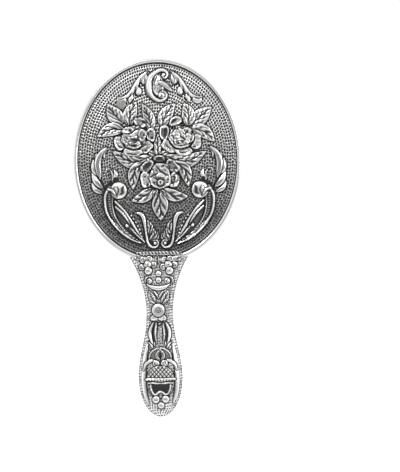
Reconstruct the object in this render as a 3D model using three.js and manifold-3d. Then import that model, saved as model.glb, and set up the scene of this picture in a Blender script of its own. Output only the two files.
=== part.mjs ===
// A silver hand mirror: an oval glass held by a pressed silver back and a folded rim band, on a hollow
// handle made of two pressed half shells around a steel tang, filled with pitch.
//
// Millimetres. +Z runs up the mirror from the handle to the head, -Y is the side of the embossed back and
// +Y the side of the glass. The origin is the middle of the grip, at the handle's waist.

import * as THREE from "three";
import { mergeVertices } from "three/addons/utils/BufferGeometryUtils.js";
import Module from "manifold-3d";

const wasm = await Module();
wasm.setup();

// ---------------------------------------------------------------- driving dimensions

const LENGTH = 160; // foot of the handle to the top of the head
const HEAD_HALF_WIDTH = 37.4;
const HEAD_HALF_HEIGHT = 45.4;
const GRIP_TO_FOOT = 46.5;
const HEAD_Z = LENGTH - GRIP_TO_FOOT - HEAD_HALF_HEIGHT; // centre of the oval

const SHEET = 0.5; // silver sheet
const PLAY = 0.05; // between flat pieces that lie on each other
const GAP = 0.3; // between curved pieces

// The stack in the head, from the board forwards.
const BOARD_BACK = -1.15;
const BOARD_THICK = 1.2;
const SILVERING_BACK = BOARD_BACK + BOARD_THICK + PLAY;
const SILVERING_THICK = 0.15;
const GLASS_BACK = SILVERING_BACK + SILVERING_THICK + PLAY;
const GLASS_THICK = 2;
const GLASS_FRONT = GLASS_BACK + GLASS_THICK;
const GLASS_INSET = 0.7; // of the glass's edge from the rim band's outside
const BEVEL = 0.6;

// The rim band: a C-shaped channel with a half-round bead behind and a narrow lip in front.
const LIP_BACK = GLASS_FRONT + PLAY;
const LIP_FRONT = LIP_BACK + SHEET;
const LIP_WIDTH = 1.2;
const LIP_CHAMFER = 0.3;
const BEAD_WIDTH = 1.9;
const BEAD_FOOT = -2.2;
const BEAD_CREST = -3;
const BEAD_UNDERSIDE = -1.8;

// The pressed back: a flat flange caught under the bead, and a dome inside it.
const FLANGE_INSET = 0.6;
const FLANGE_BACK = BEAD_UNDERSIDE + PLAY;
const DOME_SHARE = 0.955; // of the flange's own oval
const DOME_EDGE = 2.2;
const DOME_RISE = 2.4;

// The handle: half widths and depths at its foot, bulb, waist and shoulder.
const BULB_Z = -29;
const BULB_HALF_WIDTH = 9.9;
const BULB_DEPTH = 4.8;
const WAIST_HALF_WIDTH = 5.9;
const WAIST_DEPTH = 4;
const SHOULDER_Z = 26;
const SHOULDER_HALF_WIDTH = 13.6;
const COLLAR_Z = 27.6; // straight top edge, over the foot of the head
const COLLAR_HALF_WIDTH = 10;
const COLLAR_DEPTH = 3.9;
const SEAM = 0.1; // solder line between the half shells
const FILLER_INSET = 1.1; // of the pitch from the outside of the shells, clear of the pressed pattern

// The steel tang, from the handle's bulb into a slot in the board.
const TANG_HALF_WIDTH = 3;
const TANG_THICK = 1;
const TANG_BACK = BOARD_BACK + 0.1;
const TANG_FOOT_Z = -37;
const TANG_TOP_Z = 58;

const OVAL_SEGMENTS = 72;

// ---------------------------------------------------------------- closed meshes

// Points of the head's oval, this far inside its outline and at this depth, in the head's own frame.
function oval(inset, y) {
  return Array.from({ length: OVAL_SEGMENTS }, (_, i) => {
    const angle = (2 * Math.PI * i) / OVAL_SEGMENTS;
    return [
      (HEAD_HALF_WIDTH - inset) * Math.cos(angle),
      y,
      (HEAD_HALF_HEIGHT - inset) * Math.sin(angle),
    ];
  });
}

// Triangles between two rings that have as many points.
function band(a, b) {
  return a.flatMap((point, i) => {
    const next = (i + 1) % a.length;
    return [point, b[i], b[next], point, b[next], a[next]];
  });
}

// Triangles from a middle point to a ring.
function fan(middle, ring) {
  return ring.flatMap((point, i) => [middle, point, ring[(i + 1) % ring.length]]);
}

function average(ring) {
  return [0, 1, 2].map((k) => ring.reduce((sum, point) => sum + point[k], 0) / ring.length);
}

// A solid through rings in order, closed by a fan at each end.
function stack(rings, firstMiddle = average(rings[0]), lastMiddle = average(rings.at(-1))) {
  const triangles = [
    ...fan(firstMiddle, [...rings[0]].reverse()),
    ...fan(lastMiddle, rings.at(-1)),
  ];
  for (let i = 1; i < rings.length; i++) {
    triangles.push(...band(rings[i - 1], rings[i]).reverse());
  }
  return closed(triangles);
}

// A tyre-like solid through rings in order, the last joined to the first.
function loop(rings) {
  return closed(rings.flatMap((ring, i) => band(ring, rings[(i + 1) % rings.length])));
}

function signedVolume(position) {
  const [a, b, c] = [new THREE.Vector3(), new THREE.Vector3(), new THREE.Vector3()];
  let volume = 0;
  for (let i = 0; i < position.count; i += 3) {
    [a, b, c].forEach((corner, k) => corner.fromBufferAttribute(position, i + k));
    volume += a.dot(b.cross(c)) / 6;
  }
  return volume;
}

// A geometry of loose triangles with its faces pointing out.
function closed(triangles) {
  const geometry = new THREE.BufferGeometry();
  geometry.setAttribute("position", new THREE.Float32BufferAttribute(triangles.flat(), 3));
  if (signedVolume(geometry.attributes.position) > 0) return geometry;
  geometry.setAttribute(
    "position",
    new THREE.Float32BufferAttribute([...triangles].reverse().flat(), 3),
  );
  return geometry;
}

function toSolid(geometry) {
  const bare = geometry.index ? geometry.toNonIndexed() : geometry.clone();
  bare.deleteAttribute("normal");
  bare.deleteAttribute("uv");
  const merged = mergeVertices(bare, 1e-4);
  return new wasm.Manifold(
    new wasm.Mesh({
      numProp: 3,
      vertProperties: new Float32Array(merged.attributes.position.array),
      triVerts: new Uint32Array(merged.index.array),
    }),
  );
}

function toGeometry(solid) {
  const { vertProperties, triVerts } = solid.getMesh();
  const geometry = new THREE.BufferGeometry();
  geometry.setAttribute("position", new THREE.BufferAttribute(vertProperties, 3));
  geometry.setIndex(new THREE.BufferAttribute(triVerts, 1));
  const faceted = geometry.toNonIndexed();
  faceted.computeVertexNormals();
  return faceted;
}

function cut(geometry, ...tools) {
  return toGeometry(
    tools.reduce((solid, tool) => solid.subtract(toSolid(tool)), toSolid(geometry)),
  );
}

// A box between two corners.
function box(low, high) {
  const size = high.map((v, k) => v - low[k]);
  const middle = high.map((v, k) => (v + low[k]) / 2);
  return new THREE.BoxGeometry(...size).translate(...middle);
}

// ---------------------------------------------------------------- embossed relief

// A soft bump: 1 at its middle line from a to b, falling to 0 at its half width.
function bump(x, z, [ax, az], [bx, bz], halfWidth) {
  const [dx, dz] = [bx - ax, bz - az];
  const along = ((x - ax) * dx + (z - az) * dz) / (dx * dx + dz * dz || 1);
  const share = Math.min(1, Math.max(0, along));
  const distance = Math.hypot(x - ax - share * dx, z - az - share * dz);
  return Math.max(0, 1 - (distance / halfWidth) ** 2);
}

// The bouquet and scrolls of the head, in its own frame: height, half width and the line of each motif.
// Every motif but the ones on the middle line has a mirrored twin.
const HEAD_RELIEF_MOST = 1.25;
const HEAD_MOTIFS = [
  { height: 1.25, half: 7, line: [[0.6, -6.3]] }, // lower rose
  { height: 1.15, half: 6.8, line: [[10.4, 11]] }, // upper roses
  { height: 0.7, half: 2.6, line: [[17, 17.5], [22, 22.8]] }, // leaves round the upper roses
  { height: 0.7, half: 2.4, line: [[13, 18], [11.2, 23]] },
  { height: 0.7, half: 2.4, line: [[3.5, 18], [7, 23]] },
  { height: 0.7, half: 2.4, line: [[18, 13.5], [24, 10]] },
  { height: 0.7, half: 2.6, line: [[7, 0.5], [18.5, 1.8]] }, // leaves round the lower rose
  { height: 0.7, half: 2.2, line: [[9, -3.5], [12, -9.5]] },
  { height: 0.7, half: 2.4, line: [[4, -14.2], [11, -17.2]] },
  { height: 0.7, half: 3, line: [[0.6, -17.5], [0.6, -24]] },
  { height: 0.8, half: 2.8, line: [[26.5, -11.5], [28, -6], [24.5, 3.5]] }, // plumes
  { height: 1.25, half: 3.8, line: [[18.4, -13.5]] }, // scroll balls
  { height: 0.9, half: 2.2, line: [[21.8, -13], [22.9, -20], [18, -30], [7, -37]] },
  { height: 0.6, half: 1.4, line: [[18.5, -19], [12, -27], [6.5, -36]] },
  { height: 0.7, half: 1.5, line: [[10, -24.4], [6.4, -28.8], [5, -37], [1.6, -37]] },
  { height: 0.8, half: 1.6, line: [[3.5, 39.5], [-2, 38], [-3.2, 33.5], [0, 28], [3.5, 28]] },
  { height: 0.7, half: 2, line: [[6, 39], [11, 33], [19, 27.5]] }, // garlands over the bouquet
];

function motifHeight(motif, x, z) {
  const starts = motif.line.slice(0, Math.max(1, motif.line.length - 1));
  return Math.max(
    ...starts.map((start, i) => {
      const end = motif.line[i + 1] ?? start;
      return motif.height * Math.max(
        bump(x, z, start, end, motif.half),
        bump(-x, z, start, end, motif.half),
      );
    }),
  );
}

function headRelief(x, z) {
  return Math.min(HEAD_RELIEF_MOST, Math.max(...HEAD_MOTIFS.map((motif) => motifHeight(motif, x, z))));
}

// ---------------------------------------------------------------- the head

// Depth of the dome behind the flange's plane, without its relief, at a share of the flange's oval.
function domeDepth(share) {
  return DOME_EDGE + DOME_RISE * (1 - (share / DOME_SHARE) ** 2);
}

// A ring of the back's face: the flange's oval scaled to a share of its size.
function backRing(share, depthAt) {
  return oval(FLANGE_INSET, 0).map(([x, , z]) => {
    const at = [x * share, z * share];
    return [at[0], -depthAt(share, ...at), at[1]];
  });
}

function shares(count, last) {
  return Array.from({ length: count }, (_, i) => (last * (i + 1)) / count);
}

// The embossed silver sheet: relief outside, a smooth dome inside, and the flange round both.
function backShell() {
  const outside = (share, x, z) => domeDepth(share) + headRelief(x, z);
  const inside = (share) => domeDepth(share) - SHEET;
  const flange = (y) => backRing(1, () => -y);
  const flangeStart = DOME_SHARE + 0.005;
  const rings = [
    ...shares(22, DOME_SHARE).map((share) => backRing(share, outside)),
    backRing(flangeStart, () => -FLANGE_BACK),
    flange(FLANGE_BACK),
    flange(FLANGE_BACK + SHEET),
    backRing(flangeStart, () => -FLANGE_BACK - SHEET),
    ...shares(7, DOME_SHARE - 0.01).reverse().map((share) => backRing(share, inside)),
  ];
  const middles = [outside(0, 0, 0), inside(0)].map((depth) => [0, -depth, 0]);
  return stack(rings, ...middles);
}

// The folded band that holds the glass and the back together, with a slot for the tang at its foot.
function rimBand() {
  const bead = [0.95, 0.8, 0.5, 0.2, 0.05].map((share) => {
    const middle = BEAD_WIDTH / 2;
    const rise = Math.sqrt(1 - ((share * BEAD_WIDTH - middle) / middle) ** 2);
    return [share * BEAD_WIDTH, BEAD_FOOT + (BEAD_CREST - BEAD_FOOT) * rise];
  });
  const section = [
    [0, LIP_FRONT - LIP_CHAMFER],
    [LIP_CHAMFER, LIP_FRONT],
    [LIP_WIDTH, LIP_FRONT],
    [LIP_WIDTH, LIP_BACK],
    [SHEET, LIP_BACK],
    [SHEET, BEAD_UNDERSIDE],
    [BEAD_WIDTH, BEAD_UNDERSIDE],
    [BEAD_WIDTH, BEAD_FOOT],
    ...bead,
    [0, BEAD_FOOT],
  ];
  const slot = box(
    [-TANG_HALF_WIDTH - GAP, TANG_BACK - GAP, -HEAD_HALF_HEIGHT - 1],
    [TANG_HALF_WIDTH + GAP, TANG_BACK + TANG_THICK + GAP, -HEAD_HALF_HEIGHT + 2],
  );
  return cut(loop(section.map(([inset, y]) => oval(inset, y))), slot);
}

// The glass, with its front edge bevelled under the lip.
function mirrorGlass() {
  return stack([
    oval(GLASS_INSET, GLASS_BACK),
    oval(GLASS_INSET, GLASS_FRONT - BEVEL / 2),
    oval(GLASS_INSET + BEVEL, GLASS_FRONT),
  ]);
}

function silvering() {
  return stack([
    oval(GLASS_INSET + PLAY, SILVERING_BACK),
    oval(GLASS_INSET + PLAY, SILVERING_BACK + SILVERING_THICK),
  ]);
}

// The stiff board behind the glass, slotted for the tang.
function backingBoard() {
  const blank = stack([
    oval(GLASS_INSET + PLAY, BOARD_BACK),
    oval(GLASS_INSET + PLAY, BOARD_BACK + BOARD_THICK),
  ]);
  const slot = box(
    [-TANG_HALF_WIDTH - GAP, BOARD_BACK - 1, -HEAD_HALF_HEIGHT - 1],
    [TANG_HALF_WIDTH + GAP, BOARD_BACK + BOARD_THICK + 1, TANG_TOP_Z - HEAD_Z + GAP],
  );
  return cut(blank, slot);
}

// Pitch that fills the dome behind the board.
function headFiller() {
  const behind = (share) => domeDepth(share) - SHEET - GAP;
  const flat = () => -BOARD_BACK + PLAY;
  const edge = DOME_SHARE - 0.03;
  return stack(
    [
      ...shares(6, edge).map((share) => backRing(share, behind)),
      backRing(edge, flat),
    ],
    [0, -behind(0), 0],
  );
}

// ---------------------------------------------------------------- the handle

function smooth(t) {
  return 0.5 - 0.5 * Math.cos(Math.PI * t);
}

// A size along the handle: an elliptic foot, then blends from the bulb to the waist and on to the collar.
function alongHandle(z, bulb, waist, shoulder, foot) {
  if (z < BULB_Z) return bulb * Math.sqrt(Math.max(0, 1 - ((BULB_Z - z) / (BULB_Z - foot)) ** 2));
  if (z < 0) return waist + (bulb - waist) * smooth(z / BULB_Z);
  return waist + (shoulder - waist) * Math.min(1, z / SHOULDER_Z) ** 2;
}

function halfWidth(z, foot) {
  const beyond = Math.max(0, z - SHOULDER_Z) / (COLLAR_Z - SHOULDER_Z);
  return (
    alongHandle(z, BULB_HALF_WIDTH, WAIST_HALF_WIDTH, SHOULDER_HALF_WIDTH, foot) -
    beyond * (SHOULDER_HALF_WIDTH - COLLAR_HALF_WIDTH)
  );
}

function depth(z, foot) {
  return alongHandle(z, BULB_DEPTH, WAIST_DEPTH, COLLAR_DEPTH, foot);
}

// The section is a superellipse, rounder at the bulb and nearly square at the collar.
function squareness(z) {
  return 2.7 + 3.3 * Math.max(0, z / COLLAR_Z) ** 2;
}

const SECTION_STEPS = 14;

// A ring round the handle at z, inset from the outside. side is -1 for the back half, 1 for the front half
// and 0 for the whole.
function section(z, inset, side) {
  const foot = -GRIP_TO_FOOT + inset;
  const [w, d, n] = [halfWidth(z, foot) - inset, depth(z, foot) - inset, squareness(z)];
  const steps = side ? SECTION_STEPS : 2 * SECTION_STEPS;
  const power = (v) => Math.sign(v) * Math.abs(v) ** (2 / n);
  return Array.from({ length: side ? steps + 1 : steps }, (_, i) => {
    const angle = (Math.PI * i) / SECTION_STEPS;
    const y = side ? side * Math.max(SEAM / 2, d * power(Math.sin(angle))) : d * power(Math.sin(angle));
    return [Math.max(w, 0.3) * power(Math.cos(angle)), y, z];
  });
}

// Heights along the handle, closer together round the foot.
function stations(foot, top) {
  const round = [0.985, 0.94, 0.86, 0.74, 0.6, 0.42, 0.2].map((s) => BULB_Z - (BULB_Z - foot) * s);
  const count = Math.round((top - BULB_Z) / 2.4);
  const straight = Array.from({ length: count + 1 }, (_, i) => BULB_Z + ((top - BULB_Z) * i) / count);
  return [...round, ...straight];
}

function handleLoft(inset, side, top) {
  const foot = -GRIP_TO_FOOT + inset;
  const rings = stations(foot, top).map((z) => section(z, inset, side));
  return stack(rings, [0, (side * SEAM) / 2, foot]);
}

// The oval of the head, thick enough to clear the rim band, for cutting the handle round it.
function headEnvelope(halfDepth) {
  const rings = [-halfDepth, halfDepth].map((y) => oval(-GAP, y));
  return stack(rings).translate(0, 0, HEAD_Z);
}

// One pressed half of the handle. Its collar reaches over the face of the head.
function handleShell(side) {
  const outside = handleLoft(0, side, COLLAR_Z);
  const inside = handleLoft(SHEET, side, COLLAR_Z + 1).translate(0, -side * SEAM, 0);
  return cut(outside, inside, headEnvelope(COLLAR_DEPTH - SHEET - 0.1));
}

function tangRoom() {
  return box(
    [-TANG_HALF_WIDTH - GAP, TANG_BACK - GAP, TANG_FOOT_Z - GAP],
    [TANG_HALF_WIDTH + GAP, TANG_BACK + TANG_THICK + GAP, TANG_TOP_Z],
  );
}

// Pitch that fills the handle round the tang, up to the rim band.
function handleFiller() {
  const core = handleLoft(FILLER_INSET, 0, SHOULDER_Z - 1.5);
  return cut(core, headEnvelope(2 * COLLAR_DEPTH), tangRoom());
}

// A steel strip with round ends.
function tang() {
  const outline = new THREE.Shape();
  const straightTop = TANG_TOP_Z - TANG_HALF_WIDTH;
  const straightFoot = TANG_FOOT_Z + TANG_HALF_WIDTH;
  outline.moveTo(TANG_HALF_WIDTH, straightFoot);
  outline.lineTo(TANG_HALF_WIDTH, straightTop);
  outline.absarc(0, straightTop, TANG_HALF_WIDTH, 0, Math.PI, false);
  outline.lineTo(-TANG_HALF_WIDTH, straightFoot);
  outline.absarc(0, straightFoot, TANG_HALF_WIDTH, Math.PI, 2 * Math.PI, false);
  const strip = new THREE.ExtrudeGeometry(outline, {
    depth: TANG_THICK,
    bevelEnabled: false,
    curveSegments: 8,
  });
  return strip.rotateX(Math.PI / 2).translate(0, TANG_BACK + TANG_THICK, 0);
}

// ---------------------------------------------------------------- the assembly

const silver = { color: 0xc9cacc, roughness: 0.3, metalness: 1 };
const polishedSilver = { color: 0xe2e3e4, roughness: 0.15, metalness: 1 };
const glass = { color: 0xe8f0ee, roughness: 0.02, metalness: 0 };
const mirrorCoat = { color: 0xf2f2f2, roughness: 0.02, metalness: 1 };
const greyboard = { color: 0x9a9184, roughness: 0.9, metalness: 0 };
const pitch = { color: 0x2b211a, roughness: 0.6, metalness: 0 };
const steel = { color: 0x8d9094, roughness: 0.4, metalness: 1 };

function piece(name, geometry, look) {
  const mesh = new THREE.Mesh(geometry, new THREE.MeshStandardMaterial(look));
  mesh.name = name;
  return mesh;
}

const head = new THREE.Group();
head.position.z = HEAD_Z;
head.add(
  piece("back_shell", backShell(), silver),
  piece("rim_band", rimBand(), polishedSilver),
  piece("mirror_glass", mirrorGlass(), glass),
  piece("mirror_silvering", silvering(), mirrorCoat),
  piece("backing_board", backingBoard(), greyboard),
  piece("head_filler", headFiller(), pitch),
);

const handle = new THREE.Group();
handle.add(
  piece("handle_back_shell", handleShell(-1), silver),
  piece("handle_front_shell", handleShell(1), silver),
  piece("handle_filler", handleFiller(), pitch),
  piece("tang", tang(), steel),
);

const handMirror = new THREE.Group();
handMirror.add(head, handle);

export default handMirror;
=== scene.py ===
import bmesh
import bpy
import numpy as np
from mathutils import Euler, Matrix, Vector
from mathutils.kdtree import KDTree


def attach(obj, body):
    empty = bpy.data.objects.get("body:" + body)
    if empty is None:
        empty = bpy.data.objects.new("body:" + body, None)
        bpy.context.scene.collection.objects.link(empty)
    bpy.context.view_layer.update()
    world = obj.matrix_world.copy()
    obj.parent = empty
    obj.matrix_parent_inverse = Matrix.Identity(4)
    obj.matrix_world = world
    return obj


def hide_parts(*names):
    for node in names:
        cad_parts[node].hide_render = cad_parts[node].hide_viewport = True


# Shapes below are in millimetres, in the frame of the CAD part: the head stands above the handle and its
# embossed back faces -Y. They become metres when a mesh is made.

MM = 0.001

LENGTH = 160
HEAD_HALF_WIDTH = 37.4
HEAD_HALF_HEIGHT = 45.4
GRIP_TO_FOOT = 46.5
HEAD_Z = LENGTH - GRIP_TO_FOOT - HEAD_HALF_HEIGHT

# Section of the rim band and the pieces in it, along Y.
GLASS_BACK = 0.3
GLASS_FRONT = 2.3
GLASS_INSET = 0.7
LIP_BACK = 2.35
LIP_FRONT = 2.85
LIP_WIDTH = 1.2
BEAD_WIDTH = 1.9
BEAD_FOOT = -2.2
BEAD_CREST = -3
BEAD_UNDERSIDE = -1.8

FLANGE_INSET = 0.6
FLANGE_BACK = -1.75
DOME_SHARE = 0.955
DOME_EDGE = 2.2
DOME_RISE = 2.4
HEAD_SHEET = 0.6
HEAD_RELIEF_MOST = 1.25

BULB_Z = -29
BULB_HALF_WIDTH = 9.9
BULB_DEPTH = 4.8
WAIST_HALF_WIDTH = 5.9
WAIST_DEPTH = 4
SHOULDER_Z = 26
SHOULDER_HALF_WIDTH = 13.6
COLLAR_Z = 27.6
COLLAR_HALF_WIDTH = 10
COLLAR_DEPTH = 3.9
SEAM = 0.1
HANDLE_RELIEF_MOST = 0.62  # the relief's highest places lie on the CAD surface, the rest below it
HANDLE_WALL = 1.0  # from the CAD surface to the inside of the sheet
CLEAR = 0.3

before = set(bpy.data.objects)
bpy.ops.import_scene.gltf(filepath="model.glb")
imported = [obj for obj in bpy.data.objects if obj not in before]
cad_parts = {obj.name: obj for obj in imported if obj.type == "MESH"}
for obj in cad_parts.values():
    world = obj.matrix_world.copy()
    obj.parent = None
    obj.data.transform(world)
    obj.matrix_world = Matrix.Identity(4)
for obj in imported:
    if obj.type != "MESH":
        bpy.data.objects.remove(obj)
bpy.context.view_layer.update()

# ---------------------------------------------------------------- lines in the plane of the relief

def spline(points, steps=7):
    """A smooth line through a few points."""
    p = np.array(points, float)
    if len(p) == 1:
        return np.vstack([p, p + [0, 1e-3]])
    p = np.vstack([2 * p[0] - p[1], p, 2 * p[-1] - p[-2]])
    t = np.linspace(0, 1, steps, endpoint=False)[:, None]
    parts = []
    for a, b, c, d in zip(p, p[1:], p[2:], p[3:]):
        curve = 2 * b + (c - a) * t + (2 * a - 5 * b + 4 * c - d) * t**2
        parts.append(0.5 * (curve + (3 * b - a - 3 * c + d) * t**3))
    return np.vstack([*parts, p[-2:-1]])


def along(line, x, z):
    """Distance along the line, signed distance from it (positive on its left), and its length."""
    nearest = np.full(x.shape, np.inf)
    travelled = np.zeros(x.shape)
    offset = np.zeros(x.shape)
    start = 0.0
    for (ax, az), (bx, bz) in zip(line, line[1:]):
        dx, dz = bx - ax, bz - az
        length = np.hypot(dx, dz)
        share = np.clip(((x - ax) * dx + (z - az) * dz) / length**2, 0, 1)
        ex, ez = x - ax - share * dx, z - az - share * dz
        distance = np.hypot(ex, ez)
        nearer = distance < nearest
        nearest = np.where(nearer, distance, nearest)
        travelled = np.where(nearer, start + share * length, travelled)
        offset = np.where(nearer, np.where(dx * ez - dz * ex < 0, -distance, distance), offset)
        start += length
    return travelled, offset, start


def comb(v, power=1.0):
    """1 on whole numbers and 0 halfway between them; a higher power gives narrower teeth."""
    return (0.5 + 0.5 * np.cos(2 * np.pi * v)) ** power


def ease(v):
    """0 below 0, 1 above 1, smooth between. It takes numbers, arrays and the materials' values."""
    t = np.minimum(np.maximum(v, 0), 1)
    return t * t * (3 - 2 * t)


# ---------------------------------------------------------------- the relief and its motifs

EDGE_SOFT = 0.26  # mm over which a motif's edge rises
TRENCH_AT = 0.26  # mm outside a motif's edge where its chased outline is deepest
TRENCH_HALF = 0.24
TRENCH_DARK = 0.85
LEAST_WIDTH = 0.25  # mm by which a distance across a motif is divided where the motif is thinner


class Relief:
    """Height (mm above the plain surface) and tarnish (0 bright to 1 black: oxide in the hollows plus painted
    shade and reflection) over points x, z (mm).
    """

    def __init__(self, x, z):
        self.x, self.z = x, z
        self.height = np.zeros(x.shape)
        self.tarnish = np.zeros(x.shape)
        self.ground = np.zeros(x.shape)  # 1 where the punched ground shows

    def near(self, line, reach):
        """The numbers, x and z of the points in the box round a line, made larger by reach."""
        low, high = np.min(line, axis=0) - reach, np.max(line, axis=0) + reach
        inside = (self.x > low[0]) & (self.x < high[0]) & (self.z > low[1]) & (self.z < high[1])
        where = np.nonzero(inside)[0]
        return where, self.x[where], self.z[where]

    def follow(self, points, reach):
        """The points near a smooth line: their numbers, and what along() says of them."""
        line = spline(points)
        where, x, z = self.near(line, reach)
        return where, *along(line, x, z)

    def around(self, centre, reach):
        """The points near a centre: their numbers, and how far along X and Z they are from it."""
        where, x, z = self.near([centre], reach)
        return where, x - centre[0], z - centre[1]

    def lay(self, where, gap, height, tarnish, groove=0.2, dark=0.95):
        """Lays a motif over what is there. gap is the distance outside its outline, negative inside."""
        cover = np.clip(0.5 - gap / EDGE_SOFT, 0, 1)
        trench = np.exp(-(((gap - TRENCH_AT) / TRENCH_HALF) ** 2))
        under = self.height[where] * (1 - cover)
        darkness = self.tarnish[where] * (1 - cover) + tarnish * cover
        self.height[where] = under + height * cover - groove * trench
        self.tarnish[where] = np.maximum(darkness, TRENCH_DARK * dark * trench)
        self.ground[where] *= 1 - np.clip(0.5 - (gap - 0.2) / EDGE_SOFT, 0, 1)

    def age(self, shape, reach, strength, polish):
        """Darkens hollows and brightens high places, by the height against its average round about."""
        height = self.height.reshape(shape)
        mean = height
        for _ in range(2):
            for axis in (0, 1):
                ends = [mean.take([end] * reach, axis) for end in (0, -1)]
                padded = np.concatenate([ends[0], mean, ends[1]], axis)
                total = np.cumsum(padded, axis)
                first = total.take(range(0, height.shape[axis]), axis)
                last = total.take(range(2 * reach, 2 * reach + height.shape[axis]), axis)
                mean = (last - first) / (2 * reach)
        low = ((mean - height) / 0.3).ravel()
        self.tarnish += strength * np.clip(low, 0, 1) - polish * np.clip(-low, 0, 1)
        np.clip(self.tarnish, 0, 1, out=self.tarnish)

    def cut(self, where, depth, tarnish):
        """Engraves into what is there: depth in mm and darkness, both where the tool went."""
        self.height[where] -= depth
        self.tarnish[where] = np.maximum(self.tarnish[where], tarnish)


def leaf(relief, points, half_width, height=0.8, veins=3, fat=0.8, dark=1.0, shade=0.0):
    """A leaf along a line from its base to its tip: two swelling halves, a cut midrib and slanted veins."""
    where, s, d, length = relief.follow(points, half_width + 1)
    share = s / length
    width = half_width * np.sin(np.pi * share**fat) ** 0.85
    across = np.abs(d) / np.maximum(width, LEAST_WIDTH)
    swell = 1 - np.clip(1.5 * across - 0.75, -1, 1) ** 2
    body = ease((0.88 - across) / 0.18) * (share > 0.04) * (share < 0.9)
    # shade darkens the leaf's body as painted shade; the leaves low on the head are given it
    darkness = 0.02 + 0.12 * (1 - swell) + 0.2 * shade * body
    relief.lay(where, np.abs(d) - width, height * (0.55 + 0.45 * swell), darkness, dark=dark)
    phase = (s - 2 * np.abs(d)) / (length / (veins + 0.6)) + np.where(d > 0, 0.4, 0)
    phase += 0.14 * (1 - shade) * np.sin(2 * relief.x[where] + 3 * relief.z[where])
    uneven = 0.85 + 0.15 * np.sin(2.4 * np.round(phase) + 3 * points[0][0] + np.sign(d))
    vein = ease(comb(phase, 1.2) * (1 + 1.5 * shade) - 0.5 * shade) * body * uneven
    rib = np.exp(-((d / 0.27) ** 2)) * (share < 0.86) * (np.abs(d) < width)
    relief.cut(where, 0.25 * vein + 0.3 * rib, np.maximum(0.95 * vein, rib))


def blade(relief, points, half_width, height=0.8, dark=1.0, fat=0.8, crest=0.0):
    """A smooth pointed lobe, roof-shaped, with its crest moved towards its left (1) or right (-1) edge."""
    where, s, d, length = relief.follow(points, half_width * 1.4 + 1)
    share = s / length
    width = half_width * np.sin(np.pi * share**fat) ** 0.7
    across = np.clip(d / np.maximum(width, LEAST_WIDTH), -1.2, 1.2)
    slope = np.where(across > crest, (across - crest) / (1 - crest), (crest - across) / (1 + crest))
    top = height * (1 - 0.6 * np.clip(slope, 0, 1) ** 1.5) * (0.6 + 0.4 * np.sin(np.pi * share))
    # painted shade: the lobe darkens down its slopes towards its edges, over a wider band on its broader side
    relief.lay(where, np.abs(d) - width, top, 0.02 + 0.25 * ease((slope - 0.6) / 0.4), dark=dark)


def petal(relief, centre, size, turn=0.0, height=0.9, hollow=0.25, hatch=0.0, dark=0.75):
    """A crumpled petal: a thin bright rim round a hollow with rays. size is its two half sizes."""
    turn = np.radians(turn)
    where, dx, dz = relief.around(centre, max(size) * 1.2 + 1)
    a = (dx * np.cos(turn) + dz * np.sin(turn)) / size[0]
    b = (dz * np.cos(turn) - dx * np.sin(turn)) / size[1]
    angle = np.arctan2(b, a)
    crumple = 0.05 * np.sin(3 * angle + sum(centre)) + 0.03 * np.sin(5 * angle + 2 * sum(centre))
    reach = (np.abs(a) ** 2.4 + np.abs(b) ** 2.4) ** (1 / 2.4) + crumple
    gap = (reach - 1) * min(size)
    rim = np.exp(-(((gap + 0.3) / 0.26) ** 2))
    bowl = ease((-0.36 - gap) / 0.5)
    top = height * (0.82 + 0.18 * rim - (0.1 + 0.5 * hollow) * bowl)
    relief.lay(where, gap, top, 0.03 + hollow * bowl, dark=dark)
    rays = comb(angle * 9 / (2 * np.pi) + 0.3 * np.sin(4 * reach + sum(centre)), 2) * bowl * ease(reach / 0.4)
    relief.cut(where, 0.12 * rays, (0.15 + hollow) * rays)
    if hatch:
        lines = comb(a * size[0] / 0.95, 1.6) * comb(b * size[1] / 1.3, 0.7) * (reach < 0.78)
        relief.cut(where, 0.12 * lines, hatch * lines)


def fold(relief, points, width, depth=0.25, tarnish=0.9):
    """A crease engraved along a line, tapering to both ends."""
    where, s, d, length = relief.follow(points, width + 0.6)
    taper = 1.3 * width * np.clip(np.sin(np.pi * np.clip(s / length, 0.03, 0.97)), 0, 1) ** 0.4
    mark = np.exp(-(np.abs(d / taper) ** 2.6))
    relief.cut(where, depth * mark, tarnish * mark)


def crumple(relief, centre, radius, strength):
    """A net of fine creases over the motifs near a place, left as it is where the ground shows."""
    where, dx, dz = relief.around(centre, radius)
    x, z = relief.x[where], relief.z[where]
    bend = np.sin(1.9 * x + 1.6 * np.sin(2.1 * z + 1)) + np.sin(2.2 * z + 1.8 * np.sin(1.7 * x + 2))
    crease = np.exp(-((bend / 0.3) ** 2)) * ease((radius - np.hypot(dx, dz)) / 1.5)
    crease *= 1 - relief.ground[where]
    relief.cut(where, 0.12 * crease, strength * crease)


def ball(relief, centre, radius, height=1.0, tarnish=0.02, dark=0.95, groove=0.25):
    """A polished round boss."""
    where, dx, dz = relief.around(centre, radius + 1)
    reach = np.hypot(dx, dz)
    dome = np.sqrt(np.clip(1 - (reach / radius) ** 2, 0, 1))
    darkness = tarnish + 0.35 * ease((reach / radius - 0.85) / 0.15)
    relief.lay(where, reach - radius, height * dome, darkness, groove, dark)


def scroll(relief, points, widths, height=0.8, tarnish=0.04, dark=0.9, groove=0.2, floor=0.0):
    """A half-round band along a line. widths are its half widths, spread evenly along the line."""
    where, s, d, length = relief.follow(points, max(widths) + 1)
    width = np.interp(s / length, np.linspace(0, 1, len(widths)), widths)
    across = np.clip(np.abs(d) / width, 0, 1)
    top = floor + (height - floor) * np.sqrt(np.clip(1 - across**2, 0, 1))
    darkness = tarnish + 0.3 * ease((across - 0.75) / 0.25)
    relief.lay(where, np.abs(d) - width, top, darkness, groove, dark)


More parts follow.
